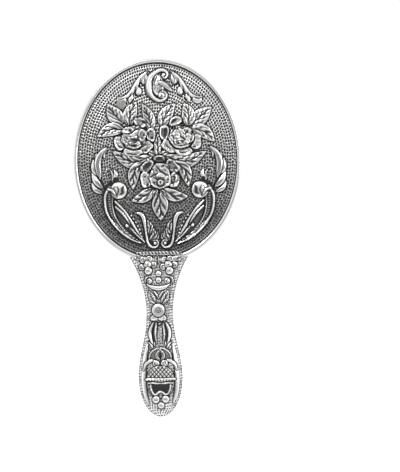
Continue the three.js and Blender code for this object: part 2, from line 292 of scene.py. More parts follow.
def pip(relief, centre, radius):
    """A raised ring round a dark pierced middle."""
    where, dx, dz = relief.around(centre, radius + 1.2)
    reach = np.hypot(dx, dz)
    ring = np.exp(-(((reach - radius) / 0.35) ** 2))
    hole = ease((radius * 0.85 - reach) / 0.3)
    relief.height[where] += 0.25 * ring
    relief.tarnish[where] *= 1 - 0.9 * ring
    relief.cut(where, 0.35 * hole, hole)
# ---------------------------------------------------------------- the back of the head

PIT_PITCH = 1.25  # mm between the punched pits of the ground
PIT_RADIUS = 0.47
PIT_GROWTH = 0.06  # added to the radius low on the head, so that the dark pits add to the painted shade there
ROW_SHIFT = 0.4  # steps by which neighbouring rows are out of line, at most
PIT_START = 0.35  # rows from the rim to the middle of the first row
PIT_SWAY = ((2.1, 1.3, 0.5), (-1.7, 2.6, 1.9))  # waves that make the rows uneven: along x, along z, phase
MEAN_RADIUS = (HEAD_HALF_WIDTH + HEAD_HALF_HEIGHT) / 2


def lowness(up):
    """0 at the head's top and 1 near its foot, where the ground's painted shade is darkest."""
    return ease((0.85 - up) / 1.5)


def pit_reach(x, z):
    """How far inside the nearest pit a place is, in mm. The mesh and the material both use this."""
    across, up = x / HEAD_HALF_WIDTH, z / HEAD_HALF_HEIGHT
    share = (across * across + up * up) ** 0.5
    turn = np.arctan2(up, across) / (2 * np.pi) + 0.5
    rows = (1 - share) * MEAN_RADIUS / PIT_PITCH - PIT_START
    row = np.rint(rows)
    around = 2 * np.pi * (MEAN_RADIUS / PIT_PITCH - PIT_START - row)
    steps = turn * np.rint(around) + ROW_SHIFT * np.sin(2.6 * row)
    low = lowness(up)
    uneven = sum(np.sin(a * x + b * z + c) for a, b, c in PIT_SWAY) * (0.03 + 0.09 * low)
    out, beside = rows - row + uneven, steps - np.rint(steps) - uneven
    return PIT_RADIUS + PIT_GROWTH * low - PIT_PITCH * (out * out + beside * beside) ** 0.5


def punched_ground(relief):
    """Round pits in rows that follow the rim."""
    low = lowness(relief.z / HEAD_HALF_HEIGHT)
    relief.height -= 0.22 * ease(pit_reach(relief.x, relief.z) / 0.24 + 0.5)
    # painted shade: the ground is made darker towards the head's foot, where the dome turns down away from
    # the light
    relief.tarnish[:] = 0.03 + 0.1 * low + 0.38 * low**2
    relief.ground[:] = 1


def mirrored(side, middle=0.7):
    """Gives a function that places points of the right half: as they are for side 1, mirrored for side -1."""
    return lambda *points: [(middle + side * px, pz) for px, pz in points]


def top_scroll(relief):
    """The C-scroll at the top, with the leaf inside it."""
    petal(relief, (0.6, 33.2), (2.8, 4.8), 10, 0.4, 0.3, dark=0)
    blade(relief, [(-0.4, 33.2), (0.7, 35.2), (1.1, 37.6)], 1, 0.65, 0.6)
    blade(relief, [(0.8, 34.8), (3.8, 33.6), (7, 30.4)], 1.2, 0.7, 0.7, crest=0.4)
    fold(relief, [(2, 35.4), (4.4, 34.2), (6.6, 31.6)], 0.26, 0.12, 0.7)
    curve = (
        (2.6, 37.4), (3.8, 36.5), (4.9, 37.6), (4.5, 39.3), (2.1, 40.1), (-1.5, 38.2), (-3.2, 35.3),
        (-3.4, 32.4), (-2.7, 29.4), (-0.7, 27.2), (1.5, 26.3), (3.7, 27.1), (4.5, 28.8), (3.4, 30.4),
        (1.8, 30.2),
    )
    widths = 0.35, 0.6, 0.75, 0.85, 0.9, 1.2, 1.5, 1.6, 1.5, 1.1, 0.9, 0.75, 0.7, 0.6, 0.35
    scroll(relief, curve, widths, 1.05, dark=0.75)
    ball(relief, (3.4, 38), 0.9, 0.8, dark=0.6)
    ball(relief, (2.4, 28.7), 1.5, 0.8, dark=0.6)
    for width, line in (
        (0.22, ((0.8, 40), (-2.4, 38.4), (-4.4, 34.6), (-4.3, 31), (-2, 27.2), (0.6, 26))),
        (0.34, ((-1.8, 34), (-1.7, 31), (-0.4, 28.6), (1, 27.6))),
        (0.4, ((-0.6, 37.4), (-1.7, 35.4), (-1.8, 32.4))), (0.26, ((2.2, 29.8), (2.4, 28.4), (1.6, 27.6))),
    ):
        fold(relief, line, width, 0.12, 0.65)


def garland(relief, side):
    """A long spray of acanthus that hangs from the C-scroll outwards on one side."""
    at = mirrored(side, 1.35)
    for lobe, width in (
        (((14, 28.2), (17, 26.4), (18.9, 27.6)), 1.5), (((12, 30), (12.6, 28), (13.4, 25.6)), 1.1),
        (((10, 33.2), (9.2, 30.8), (9.6, 28.2)), 1.3), (((6, 39.4), (6.8, 36.4), (6.9, 33.6)), 1.7),
    ):
        blade(relief, at(*lobe), width, 0.75, 0.6, fat=1.1)
    spray = at((5, 39.8), (7.8, 37.2), (9.9, 34.2), (11.9, 31), (14, 28.9), (16.6, 27.9), (18.7, 28))
    scroll(relief, spray, [0.1, 0.9, 1.1, 1.1, 0.9, 0.6, 0.2], 0.7, dark=0.7)
    for width, line in (
        (0.45, ((5.8, 33.6), (7, 33.3), (8, 34.2))), (0.3, ((8.3, 36.4), (8.8, 34), (8.6, 32.4))),
        (0.3, ((10.4, 33), (10.9, 31), (10.8, 29.4))), (0.4, ((8.4, 29.2), (9.4, 28.6), (10.6, 29.4))),
        (0.3, ((12.4, 30), (13.2, 28.4))), (0.4, ((11.4, 27), (12.4, 26.4))),
        (0.3, ((14.6, 28), (14.8, 26.6))), (0.24, ((15.4, 28), (17.4, 27), (18.6, 27.4))),
        (0.2, ((5.6, 38.4), (6.6, 36.4), (6.8, 34.6))),
    ):
        fold(relief, at(*line), width, 0.2, 0.75)


def upper_leaves(relief):
    for base, middle, tip, half_width, veins in (
        ((-15, 16.4), (-18.9, 20.6), (-21.7, 25.2), 3.4, 3),
        ((-12.2, 15.4), (-11.7, 20.8), (-8.9, 26), 3.1, 3),
        ((-2.4, 12.6), (-3.6, 19.4), (-6.5, 25.2), 2.6, 4),
        ((-14.6, 13.6), (-20.5, 13.8), (-26.6, 10.8), 2.9, 3),
        ((15.4, 15.2), (19.9, 19.4), (24.4, 23.4), 3.4, 3), ((13.9, 15), (14.1, 20.4), (12.3, 25.4), 3, 3),
        ((2, 14.6), (4.4, 20.4), (8.2, 25), 3.1, 3), ((15, 13.8), (20.8, 12.4), (25.8, 7.8), 2.9, 3),
    ):
        leaf(relief, [base, middle, tip], half_width, veins=veins, dark=0.7)


def bloom(relief, petals=(), bands=(), folds=()):
    """Part of a rose: petals (centre, half sizes, turn, hollow, hatch), then bright bands, dark folds."""
    for centre, size, turn, hollow, hatch in petals:
        petal(relief, centre, size, turn, 0.85, hollow, hatch)
    for width, points in bands:
        scroll(relief, points, [0.5 * width, width, width, 0.5 * width], 1.05, dark=0.7, floor=0.5)
    for width, points in folds:
        fold(relief, points, width, 0.25, 0.95)


def left_rose(relief):
    bloom(relief, (
        ((-7.4, 16.4), (2.9, 1.9), -30, 0.35, 0), ((-2.7, 11.1), (2.1, 2.9), 5, 0.4, 0.5),
        ((-4.9, 5.6), (3.2, 2.3), 38, 0.2, 0.7), ((-11.1, 3.7), (4.1, 1.8), -5, 0.08, 0.4),
        ((-16.6, 7.7), (2.4, 3.2), 12, 0.1, 0.3),
    ))
    ball(relief, (-10.3, 10), 5.5, 0.9, 0.06, dark=0.9)
    bloom(relief, (
        ((-13.9, 9.6), (1.9, 2.5), -20, 0.1, 0), ((-6.6, 11.1), (1.8, 2.7), -15, 0.4, 0.6),
        ((-10.6, 6.8), (3.5, 1.5), 3, 0.1, 0), ((-12.9, 13.3), (2.5, 1.5), 12, 0.1, 0),
    ), (
        (0.45, ((-9.3, 18), (-7.4, 18.7), (-5.5, 17.5), (-4.4, 16.2), (-2.9, 14.7))),
        (0.42, ((-15.2, 10.6), (-14.6, 8.3), (-13.4, 7), (-12, 6), (-10.2, 5.4), (-8.3, 5.6), (-7, 6.6))),
        (1, ((-11.6, 11.2), (-9.8, 12), (-8.6, 13.2))), (0.5, ((-9.4, 14.2), (-8, 15))),
        (0.4, ((-12, 8.4), (-11.8, 6.8))),
    ), (
        (0.5, ((-6.9, 17.4), (-5.4, 16.9), (-4.5, 15.9))), (0.62, ((-12, 13.8), (-11.6, 12.7))),
        (0.4, ((-13.8, 13.9), (-13.5, 13.4))),
        (0.3, ((-8.2, 13.8), (-9.6, 13.6), (-10.7, 12.4), (-12, 11.9), (-14.7, 11.9))),
        (0.7, ((-11.4, 9.3), (-9.2, 8.9), (-7.7, 9))), (0.4, ((-8.4, 11), (-8.2, 9.4))),
        (0.3, ((-14, 10.6), (-13.3, 9.6), (-12.6, 9.1))), (0.3, ((-13.2, 7), (-12.9, 6.3))),
        (0.5, ((-11.3, 6.5), (-10.1, 6.5), (-8.9, 6.4))), (0.35, ((-10.9, 8.1), (-9.8, 7.9), (-8.9, 8.2))),
        (0.62, ((-7.4, 7.8), (-6.2, 6.8))), (0.35, ((-6, 11.3), (-5.7, 10.7))),
        (0.35, ((-7, 9.7), (-6.1, 9.4))), (0.35, ((-17.4, 6.6), (-15.7, 5.6), (-14.8, 6.1))),
        (0.28, ((-13.6, 3.2), (-10.4, 2.5), (-8.3, 2.9))), (0.6, ((-2.1, 10.1), (-2.4, 9.3))),
        (0.3, ((-3.9, 12.4), (-3.6, 10.6))), (0.3, ((-3.3, 13.2), (-2.4, 12.4))),
        (0.4, ((-5.7, 4.3), (-4.5, 4.2))), (0.25, ((-6.2, 5.8), (-4.4, 7))),
    ))


def right_rose(relief):
    bloom(relief, (
        ((8.4, 17), (2.9, 1.8), 25, 0.35, 0), ((3.3, 12), (2.1, 3.3), -4, 0.6, 0.5),
        ((5.4, 5.9), (3.7, 2.2), -35, 0.2, 0.7), ((12, 3.6), (3.7, 1.7), 2, 0.12, 0.5),
        ((17.4, 7.7), (2.3, 3.3), -12, 0.1, 0.4),
    ))
    ball(relief, (10.8, 9.9), 5.5, 0.9, 0.06, dark=0.9)
    bloom(relief, (
        ((7.2, 9.2), (1.6, 2.4), 10, 0.12, 0), ((11.2, 6.7), (3.4, 1.4), 3, 0.1, 0),
        ((13.4, 12.7), (2, 1.6), -15, 0.15, 0), ((14.1, 9.4), (1.9, 2.2), 20, 0.1, 0),
        ((8.6, 11.4), (1.6, 2), 0, 0.08, 0),
    ), (
        (0.45, ((5.7, 15.4), (6.1, 16.7), (6.9, 18), (8.4, 18.9), (9.9, 18.8), (11.1, 17.7))),
        (0.42, ((5.1, 10.6), (5.6, 9), (6.6, 7.7), (7.5, 6.6), (8.6, 5.7), (10.3, 5.4), (12.2, 5.7),
                (14, 6.3), (15, 7.2))),
        (0.35, ((15.3, 12), (16.2, 10.5), (16, 8.6), (15.1, 7.6))),
        (0.95, ((10.1, 13.7), (11.4, 12), (12.3, 9.9))), (0.3, ((7.9, 10.2), (8.1, 6.6))),
        (0.3, ((10.3, 15.4), (12.4, 15.5))), (0.3, ((11, 14.5), (12.6, 14.6))),
        (0.3, ((8.7, 15.1), (8.7, 13.7))), (0.25, ((7.7, 14.8), (7.4, 13.4))),
    ), (
        (0.55, ((6.5, 16.2), (7.5, 17.2), (8.8, 17.6))), (0.7, ((4.1, 14), (3.6, 12.4), (3.6, 10.2))),
        (0.28, ((11.1, 12.8), (12.2, 11.3), (12.9, 11.6), (13.9, 12.8))),
        (0.55, ((13.4, 12.9), (13.6, 12.2))), (0.42, ((10.3, 10.3), (11.8, 9.4), (13, 8.5))),
        (0.3, ((7.4, 13.2), (7.1, 12))), (0.35, ((6.1, 10.9), (7.4, 10.5))),
        (0.3, ((15.1, 9.3), (14.9, 8.3))), (0.75, ((9.5, 7.7), (9.3, 6.9))),
        (0.5, ((10.6, 8.4), (11.9, 7.9))), (0.28, ((10.2, 6.3), (11.2, 6.2))),
        (0.22, ((3.7, 7.4), (4.3, 6.2), (6.2, 4.6))), (0.25, ((9.6, 3.8), (10.8, 3.1), (13.2, 3.2))),
        (0.35, ((15.7, 5.6), (17.2, 5.7))), (0.25, ((10.6, 15), (12.3, 15))),
        (0.45, ((14.4, 7.3), (15.2, 6.3))),
    ))


def under_leaves(relief):
    """The broad leaves below the upper roses, and the bud between these."""
    leaf(relief, [(-1.6, 2), (-11, -0.8), (-20, 4.2)], 3, veins=5, fat=0.95)
    leaf(relief, [(2.6, 2), (12.6, -0.8), (22, 3.6)], 3, veins=5, fat=0.95)
    leaf(relief, [(0.2, 1.4), (-2.6, 3.2), (-5, 3.2)], 1.1, veins=3)
    leaf(relief, [(0.6, 1.4), (3.6, 3.2), (6, 3.2)], 1.1, veins=3)
    leaf(relief, [(0.4, 1.6), (0.3, 6), (0.5, 11.6)], 1.6)


def lower_leaves(relief):
    leaf(relief, [(-5.4, -0.6), (-10.2, -5), (-11, -13.2)], 2.5, veins=3, fat=0.95, shade=0.6)
    leaf(relief, [(7, -0.6), (12.2, -4.6), (13.8, -12)], 2.6, veins=3, fat=0.95, shade=0.6)
    leaf(relief, [(-1.6, -12.8), (-6, -16.2), (-11.8, -18.2)], 2.6, veins=2, shade=0.6)
    leaf(relief, [(2.2, -12.8), (7.2, -16), (13.6, -16.4)], 2.6, veins=2, shade=0.6)
    leaf(relief, [(0, -13), (-1.2, -15), (-1.6, -17.6)], 1, veins=2)
    leaf(relief, [(1.2, -13), (2.4, -15), (2.8, -17.4)], 1, veins=2)
    leaf(relief, [(0.6, -14.8), (1, -20), (1.3, -27)], 3.6, veins=2, shade=0.6)


def lower_rose(relief):
    """The rose in the middle, with its hollow petals thrown open above and a round bud at its foot."""
    bloom(relief, (
        ((-4.5, -2.9), (3.4, 2), 45, 0.55, 0.4), ((6.7, -2.9), (3.4, 2.2), -45, 0.4, 0.5),
        ((-5.2, -8.8), (2.4, 3.5), 8, 0.12, 0.3), ((7.4, -9.1), (2.3, 3.3), -6, 0.12, 0.5),
        ((0.9, 0.5), (2.6, 1.4), 0, 0.4, 0),
    ), (
        (0.5, ((-4.5, 0.6), (-3.7, -0.4))), (0.5, ((-7.4, -2.8), (-6.6, -3.9))),
        (0.5, ((5.2, 0.2), (6.4, -0.4))), (0.5, ((7.9, -4.2), (8.6, -5.4))),
        (0.4, ((-1.4, 0.6), (-0.8, 1.4), (1.2, 1.7), (2.9, 1))), (0.7, ((8.2, -6.8), (8.2, -9.4))),
        (0.75, ((5.4, -11.6), (6.6, -11.2))),
    ), (
        (0.7, ((-1, -0.5), (0.2, 0.1), (2, 0), (3.2, -0.8))), (0.5, ((4.8, -1), (5.8, -1.7))),
        (0.8, ((-5.4, -3.9), (-4.2, -2.4), (-2.8, -1.6))),
        (0.35, ((-5, -10.4), (-4.2, -10.8), (-4.4, -11.5), (-5.2, -11.1))), (0.3, ((-6, -7.6), (-5, -7.4))),
        (0.35, ((6.6, -7.5), (7.7, -8), (7, -9.2))), (0.4, ((6, -10), (7.4, -10.2))),
    ))
    petal(relief, (1.3, -7.1), (4.6, 5.6), 0, 1.05, 0.05, dark=1)
    bloom(relief, bands=(
        (0.6, ((-2.3, -5), (-2.8, -7.2))),
        (0.5, ((-2.9, -10.2), (-2, -11.4), (0, -12.2), (1.4, -12.5), (3.4, -11.6))),
        (0.9, ((-0.3, -7), (1.4, -6.6), (3, -7.4))),
    ), folds=(
        (0.36, ((-1, -1.9), (0, -3.3), (1.2, -4.9), (2.9, -6), (5, -7.2))),
        (0.36, ((0.4, -6.1), (-1.7, -6.8), (-3.3, -7.7))), (0.45, ((1.8, -3.3), (3.1, -2.3))),
        (0.36, ((3.7, -2.5), (5.2, -4.2), (5.8, -5.2))), (0.3, ((-0.9, -4), (0, -5.3))),
        (0.4, ((-1.9, -7.8), (0, -8.6), (3.3, -8.8))), (0.5, ((-2.1, -10.2), (-0.9, -10.2))),
        (0.3, ((4.2, -9.1), (5.1, -8.6))), (0.3, ((-2.6, -3.6), (-1.6, -4.6))),
        (0.26, ((2.9, -4.3), (3.9, -5.2))), (0.3, ((3.6, -10.4), (4.6, -10.2))),
    ))
    ball(relief, (1.3, -10.1), 1.5, 1.1, dark=0.6)
    pip(relief, (1.3, -10), 0.8)
    fold(relief, [(-0.8, -9.4), (0, -11.5), (1.2, -12.2), (2.7, -11.5), (3.4, -9.4)], 0.26, 0.12, 0.7)


def plume(relief, side):
    """The long feather at one side of the bouquet: smooth blades that fan out from its inner side."""
    at = mirrored(side, 0.6)
    scroll(relief, at((24, 0.6), (24.2, 3), (23, 5), (21.6, 5.2)), [0.2, 0.5, 0.4, 0.2], 0.6)
    blades = (
        (((25, -14.6), (28.4, -12.8), (29.9, -9.2)), 1.05),
        (((24.8, -12.4), (28, -9.2), (29.7, -4.6)), 1.35), (((26.6, -7), (28.9, -3.4), (28.9, 0.8)), 1.25),
        (((27, -1.4), (27.9, 1.4), (27.4, 3.8)), 0.7),
        (((26, -8.4), (27.2, -1.4), (25.6, 3.4), (22.8, 6)), 1.4),
    )
    for points, half_width in blades:
        line = at(*points)
        blade(relief, line, half_width, 0.9, fat=0.9, crest=-side * 0.3)
        for shift in (-0.3, 0.35):
            fold(relief, [(px + side * shift, pz) for px, pz in line[:-1]], 0.24, 0.12, 0.7)
    fold(relief, at((26, -8.6), (25.2, -10.4), (24.2, -11.8)), 0.5, 0.25, 1)


def horn(relief, side):
    """The long curved horn: a broad outer ridge and a thin inner one along a dark ribbed channel."""
    at = mirrored(side)
    middle = at((22.4, -12.8), (22.6, -17), (22.3, -21), (20.9, -25.6), (17.6, -30), (14, -33.4),
                (7.8, -37.2))
    where, s, d, length = relief.follow(middle, 3)
    share = s / length
    width = np.interp(share, [0, 0.1, 0.4, 0.7, 1], [1.5, 1.9, 1.8, 1.3, 0.3])
    ribs = comb(s / 1.1, 2) * ease((0.6 - share) / 0.1) * ease((0.35 - np.abs(d + side * 0.3) / width) / 0.3)
    relief.lay(where, np.abs(d) - width, 0.4 + 0.2 * ribs, 0.84 - 0.6 * ribs)
    belly = at((22.4, -25), (19.4, -29), (15.8, -32.4), (11.6, -35.2))
    scroll(relief, belly, [0.3, 0.9, 0.85, 0.3], 0.8, 0.12)
    inner = at((20.7, -15.8), (20.9, -19.6), (20.2, -23.8), (18.5, -27.4), (15.7, -31.2), (12, -34.2),
               (8, -36.9))
    scroll(relief, inner, [0.3, 0.32, 0.3, 0.3, 0.26], 0.8, dark=0.8)
    outer = at((22, -11.6), (24, -15.2), (24.2, -19.5), (23.2, -23.8), (20.2, -28.8), (16.5, -32.6),
               (12.6, -35.3), (7.8, -37.3))
    scroll(relief, outer, [0.6, 0.6, 0.55, 0.5, 0.5, 0.5, 0.45, 0.3], 1.0)
    # painted shadow between the horn's head and the plume, cut as a dark groove
    fold(relief, at((25, -15), (23.6, -12), (21.4, -10), (18, -9)), 0.7, 0.25, 1)


def horn_ball(relief, side):
    """The polished ball at the horn's head, held by a collar, with a curl of leaf above it."""
    at = mirrored(side)
    ball(relief, at((18.1, -13.4))[0], 3.8, 1.25)
    # the dark creases across the ball are a painted reflection on the polished metal, cut in shallow
    fold(relief, at((15.8, -11.4), (16.4, -12.9), (16.4, -14.4), (17.5, -15.1)), 0.6, 0.15, 1)
    fold(relief, at((18.8, -11.4), (18.1, -13.4), (18.9, -15.8)), 0.34, 0.1, 0.85)
    fold(relief, at((19.4, -11.6), (20.2, -12.6)), 0.4, 0.12, 0.55)
    scroll(relief, at((22.8, -12.8), (20.9, -13.4), (19.1, -15.8)), [0.6, 0.75, 0.25], 1.25, dark=0.75)
    scroll(relief, at((21.8, -4), (20.7, -6.2), (20.8, -9.2)), [0.2, 0.5, 0.3], 0.6)
    blade(relief, at((20.2, -8.2), (19.2, -6.4), (19.9, -4)), 0.9, 0.6, 0.7)
    fold(relief, at((20, -7.8), (18.9, -8.3)), 0.6, 0.2, 1)
    scroll(relief, at((23.8, -5.6), (23.4, -4), (21.6, -3.6)), [0.2, 0.3, 0.2], 0.4, dark=0.6)


def lens(relief, side):
    """The pointed panel inside the horn, edged with bright lines, with a stem and a curl in it."""
    at = mirrored(side)
    where, s, d, length = relief.follow(at((20, -18), (15.6, -27), (6.4, -37)), 5)
    x, z = relief.x[where], relief.z[where]
    width = 3.2 * np.sin(np.pi * s / length) ** 0.8
    hatch = comb((x + side * z) / 1.3, 2) * comb((x - side * z) / 1.5, 2)
    relief.lay(where, np.abs(d) - width, 0.1 * hatch, 0.74 - 0.5 * hatch, groove=0)
    edge = at((19.7, -18.2), (16.4, -21.7), (13.4, -26), (11, -30), (8.9, -33.4), (6.8, -36.5))
    scroll(relief, edge, [0.45, 0.65, 0.65, 0.5, 0.3], 0.75)
    scroll(relief, at((19.6, -20.6), (17, -23), (14.8, -25.9), (13.3, -28.2)), [0.4, 0.6, 0.5, 0.25], 0.65)
    scroll(relief, at((14.6, -29.2), (12.9, -30.3), (10, -33.5), (6.9, -36.5)), [0.3, 0.4, 0.35, 0.25], 0.6)
    ball(relief, at((14.7, -29.1))[0], 0.8, 0.65)
    beads = spline(at((12.6, -24.6), (10.6, -27.6), (9, -31), (8.2, -34)), 4)
    for bead in beads[::2]:
        ball(relief, bead, 0.42, 0.35, dark=0.6)


def lyre(relief, side):
    """The S-scroll that stands on the collar, with small leaves inside it."""
    at = mirrored(side)
    leaf(relief, at((5, -33), (4.2, -30), (5.4, -26.6)), 1.3, 0.6, 2)
    leaf(relief, at((4.6, -35.8), (2.6, -33.4), (2.8, -30.4)), 1.1, 0.6, 2)
    leaf(relief, at((3.8, -36.8), (1.4, -34.6), (0.9, -32.2)), 0.9, 0.55, 2)
    curve = at((10.9, -23.4), (8.8, -23.7), (7.3, -25.4), (6.5, -29.6), (6, -33.6), (5.3, -36.9),
               (3.9, -38.6), (1.8, -38.7), (0.9, -37.2), (1.7, -35.7), (3, -36))
    scroll(relief, curve, [0.25, 0.85, 1, 0.7, 0.5, 0.5, 0.6, 0.65, 0.55, 0.45, 0.35], 0.95)
    fold(relief, at((10, -24.2), (8.3, -25.8), (7.2, -29)), 0.25, 0.12, 0.6)
    ball(relief, at((2.2, -37))[0], 0.8, 0.8)


def button(relief):
    """The small matted boss left of the top leaves."""
    where, dx, dz = relief.around((-15.8, 24.9), 3)
    grain = comb(relief.x[where] / 0.7) * comb(relief.z[where] / 0.7)
    relief.lay(where, np.hypot(dx, dz) - 2.1, 0.3 + 0.1 * grain, 0.5 - 0.2 * grain, 0.1, 0.4)


def head_relief(x, z):
    """The whole embossing of the head's back, over points in the head's own frame."""
    relief = Relief(x, z)
    punched_ground(relief)
    for side in (-1, 1):
        for motif in lens, horn, plume, horn_ball, lyre, garland:
            motif(relief, side)
    for motif in top_scroll, button, upper_leaves, under_leaves, left_rose, right_rose:
        motif(relief)
    lower_leaves(relief)
    lower_rose(relief)
    for centre in (-10.4, 9.9), (10.9, 9.9), (1.2, -6.4):
        crumple(relief, centre, 9.5, 0.4)
    return relief
# ---------------------------------------------------------------- the handle's embossing

STIPPLE_PITCH = 1.12  # mm between the punched dots of the handle's ground
STIPPLE_RADIUS = 0.34
STIPPLE_DRIFT = 0.28  # of the pitch, how far a dot strays from its place
STIPPLE_TURNS = ((12.9, 7.1), (5.3, 17.7))  # radians a column and a row add to each stray
HANDLE_TARNISH = 0.26
SIDE_LEAN = 0.6  # how much the depth counts on the sides, so dots stay round where the skin turns away


def dot_reach(x, y, z):
    """How far inside the nearest dot a place is, in mm. The mesh and the material both use this."""
    across, up = (x - SIDE_LEAN * np.sign(x) * np.abs(y)) / STIPPLE_PITCH, z / STIPPLE_PITCH
    column, row = np.rint(across), np.rint(up)
    strays = [STIPPLE_DRIFT * np.sin(a * column + b * row) for a, b in STIPPLE_TURNS]
    beside, above = across - column - strays[0], up - row - strays[1]
    return STIPPLE_RADIUS - STIPPLE_PITCH * (beside * beside + above * above) ** 0.5


def handle_ground(relief, y):
    """Matted ground between the motifs, and a lighter stippled border along both sides."""
    x, z = relief.x, relief.z
    half = half_width(z)
    limit = half * np.interp(z, [-41, -37, -18, -10, 12, 22], [-0.1, 0.6, 0.66, 0.8, 0.82, 0.74])
    field = ease((limit - np.abs(x)) / 0.3 + 0.5)
    relief.height[:] = 0.3 - 0.18 * field - 0.14 * ease(dot_reach(x, y, z) / 0.25 + 0.5)
    # painted shade: the skin is darkened at its very sides, where it turns away from the front
    relief.tarnish[:] = HANDLE_TARNISH * field + 0.25 * ease((np.abs(x) / half - 0.955) / 0.04)
    relief.ground[:] = 1


def side_bands(relief):
    """A plain polished band along each side of the bulb, with a dark line on its inner side."""
    where = np.nonzero((relief.z < -10) & (relief.z > -42))[0]
    x, z = relief.x[where], relief.z[where]
    share = np.abs(x) / half_width(z)
    taper = ease((-11 - z) / 8) * ease((z + 41.5) / 5)
    gap = (np.abs(share - 0.77) - 0.1 * taper) * half_width(z)
    relief.lay(where, gap, 0.42, 0.0, 0.1, 0.35)
    line = np.exp(-(((share - 0.655) * 9 / 0.35) ** 2)) * taper
    relief.cut(where, 0.2 * line, 0.95 * line)


def berry(relief, centre, radius=1.4, turn=0.0):
    """A round bead with a comma cut into it."""
    ball(relief, centre, radius, 0.52)
    angles = np.radians(turn + np.array([-60, 30, 120, 200]))
    mark = [(centre[0] + 0.5 * radius * np.cos(a), centre[1] + 0.5 * radius * np.sin(a)) for a in angles]
    fold(relief, mark, 0.22, 0.12, 0.9)


def collar_flowers(relief):
    """The posy of round petals under the collar's hatched top edge."""
    where, x, z = relief.near([(0, 26.5)], 10)
    edge = np.maximum(np.abs(z - 26.6) - 0.7, np.abs(x - 0.6) - 9.2)
    relief.lay(where, edge, 0.42, 0.0, 0.15)
    strokes = comb((x + 0.5 * z) / 1.5, 1) * (edge < -0.1)
    relief.cut(where, 0.25 * strokes, strokes)
    leaf(relief, [(-7.4, 24), (-11.8, 25.8)], 1.2, 0.5, 2)
    leaf(relief, [(7.2, 23.4), (11, 25.4)], 1.2, 0.5, 2)
    leaf(relief, [(-0.7, 22), (-0.7, 26)], 1.1, 0.5, 2)
    left = (-7.1, 23.6), (-4.2, 24.1), (-7.6, 20.4), (-2.4, 21.6)
    right = (2.5, 23.7), (5.1, 24.1), (2, 20.6), (7, 21.5)
    for step, place in enumerate(left + right):
        berry(relief, place, 1.4, 75 * step)
    for place in (-5, 21.5), (-4.8, 18.8), (4.2, 21.4), (4.8, 18.8):
        berry(relief, place, 1.65, 40)
        pip(relief, place, 0.55)
    for pz in (17.5, 14.7):
        ball(relief, (-0.2, pz), 1.25, 0.6)
        fold(relief, [(-0.7, pz - 0.3), (0.3, pz - 0.4)], 0.2, 0.1, 0.6)
    for side in (-1, 1):
        at = mirrored(side, 0)
        berry(relief, (side * 4.1 - 0.4, 14.2), 1.25, 90)
        scroll(relief, at((6.4, 13.4), (6, 15.4), (4.4, 16.4)), [0.2, 0.4, 0.2], 0.45)


def waist_flower(relief):
    """Under the posy: a crescent, a pair of leaves and a round bud on two lobes."""
    scroll(relief, [(-5.8, 13), (-3.4, 11.6), (-0.3, 11), (2.8, 11.6), (5, 13)], [0.2, 0.8, 1, 0.8, 0.2], 0.5)
    for side in (-1, 1):
        at = mirrored(side, -0.3)
        leaf(relief, at((1.2, 4.2), (3.1, 6.6), (4.4, 9.9)), 1.5, 0.5, 3)
        scroll(relief, at((1.9, 9.6), (0.8, 8), (0, 6.4)), [0.3, 0.35, 0.2], 0.45)
        petal(relief, (side * 1.8 - 0.6, -2.2), (1.8, 1.4), side * -14, 0.5, 0.05)
    ball(relief, (-0.6, 1.2), 3, 0.62, 0.05)
    for rise in (-0.9, 0.1, 1.1):
        end = 1.2 + 0.5 * rise
        fold(relief, [(-1.9, end), (-0.6, 1.2 + rise), (0.7, end)], 0.22, 0.12, 0.75)
    fold(relief, [(-3.4, -3.4), (-0.6, -4.2), (2.2, -3.4)], 0.3, 0.15, 0.9)


def slotted_petals(relief):
    """A long slotted petal on either side of a stippled strip."""
    for side in (-1, 1):
        at = mirrored(side, 0)
        leaf(relief, at((1.8, -3.6), (3.5, -8.8), (2.6, -15)), 2, 0.5, 0, dark=0.95)
        scroll(relief, at((3.1, -4.4), (4.6, -8.8), (3.4, -14.4)), [0.3, 0.75, 0.3], 0.55)
        fold(relief, at((2.6, -5.4), (3.1, -9), (2.3, -12.8)), 0.6, 0.3, 1)
        scroll(relief, at((1.5, -4.4), (2, -9), (1.5, -13.4)), [0.2, 0.35, 0.2], 0.5)
        berry(relief, (side * 4.2, -15), 0.95, 90)
        scroll(relief, at((5.6, -13), (4.6, -13.4), (3, -15.6)), [0.2, 0.4, 0.3], 0.45)
    fold(relief, [(-1, -4.4), (0, -5.8), (1, -4.4)], 0.35, 0.15, 0.9)


def tulip_arch(relief):
    """An arch over a dark tulip, with two curls below it."""
    where, x, z = relief.near([(0, -18.6)], 7)
    reach = np.hypot(x / 5.3, (z + 21) / 5.4) - 1
    inside = np.maximum(reach * 5.3, -21.4 - z)
    relief.lay(where, inside, 0.12, 0.62, 0.1)
    pitch = 1.15
    from_dot = np.hypot(*[v - pitch * np.round(v / pitch) for v in (x - z, x + z)])
    dots = ease((0.3 - from_dot) / 0.2 + 0.5)
    relief.tarnish[where] -= 0.5 * dots * (inside < -0.5) * relief.tarnish[where]
    left, right = (mirrored(side, 0)((5.2, -21.4), (4.6, -18.2), (2.4, -16.1)) for side in (-1, 1))
    scroll(relief, [*left, (0, -15.6), *right[::-1]], [0.3, 0.35, 0.35, 0.3], 0.45)
    leaf(relief, [(0, -21.4), (0, -15.8)], 2.1, 0.45, 0)
    leaf(relief, [(0, -20.8), (0, -17)], 1.2, 0.15, 0)
    fold(relief, [(0, -20.4), (0, -17.6)], 0.8, 0.15, 1)
    for side in (-1, 1):
        wing = mirrored(side, 0)((7.6, -25.4), (6.6, -22.8), (4.4, -21.2), (2.2, -21.4))
        scroll(relief, wing, [0.25, 0.6, 0.7, 0.5], 0.5)
        berry(relief, (side * 1.9, -22.4), 1.5, 90 - 60 * side)


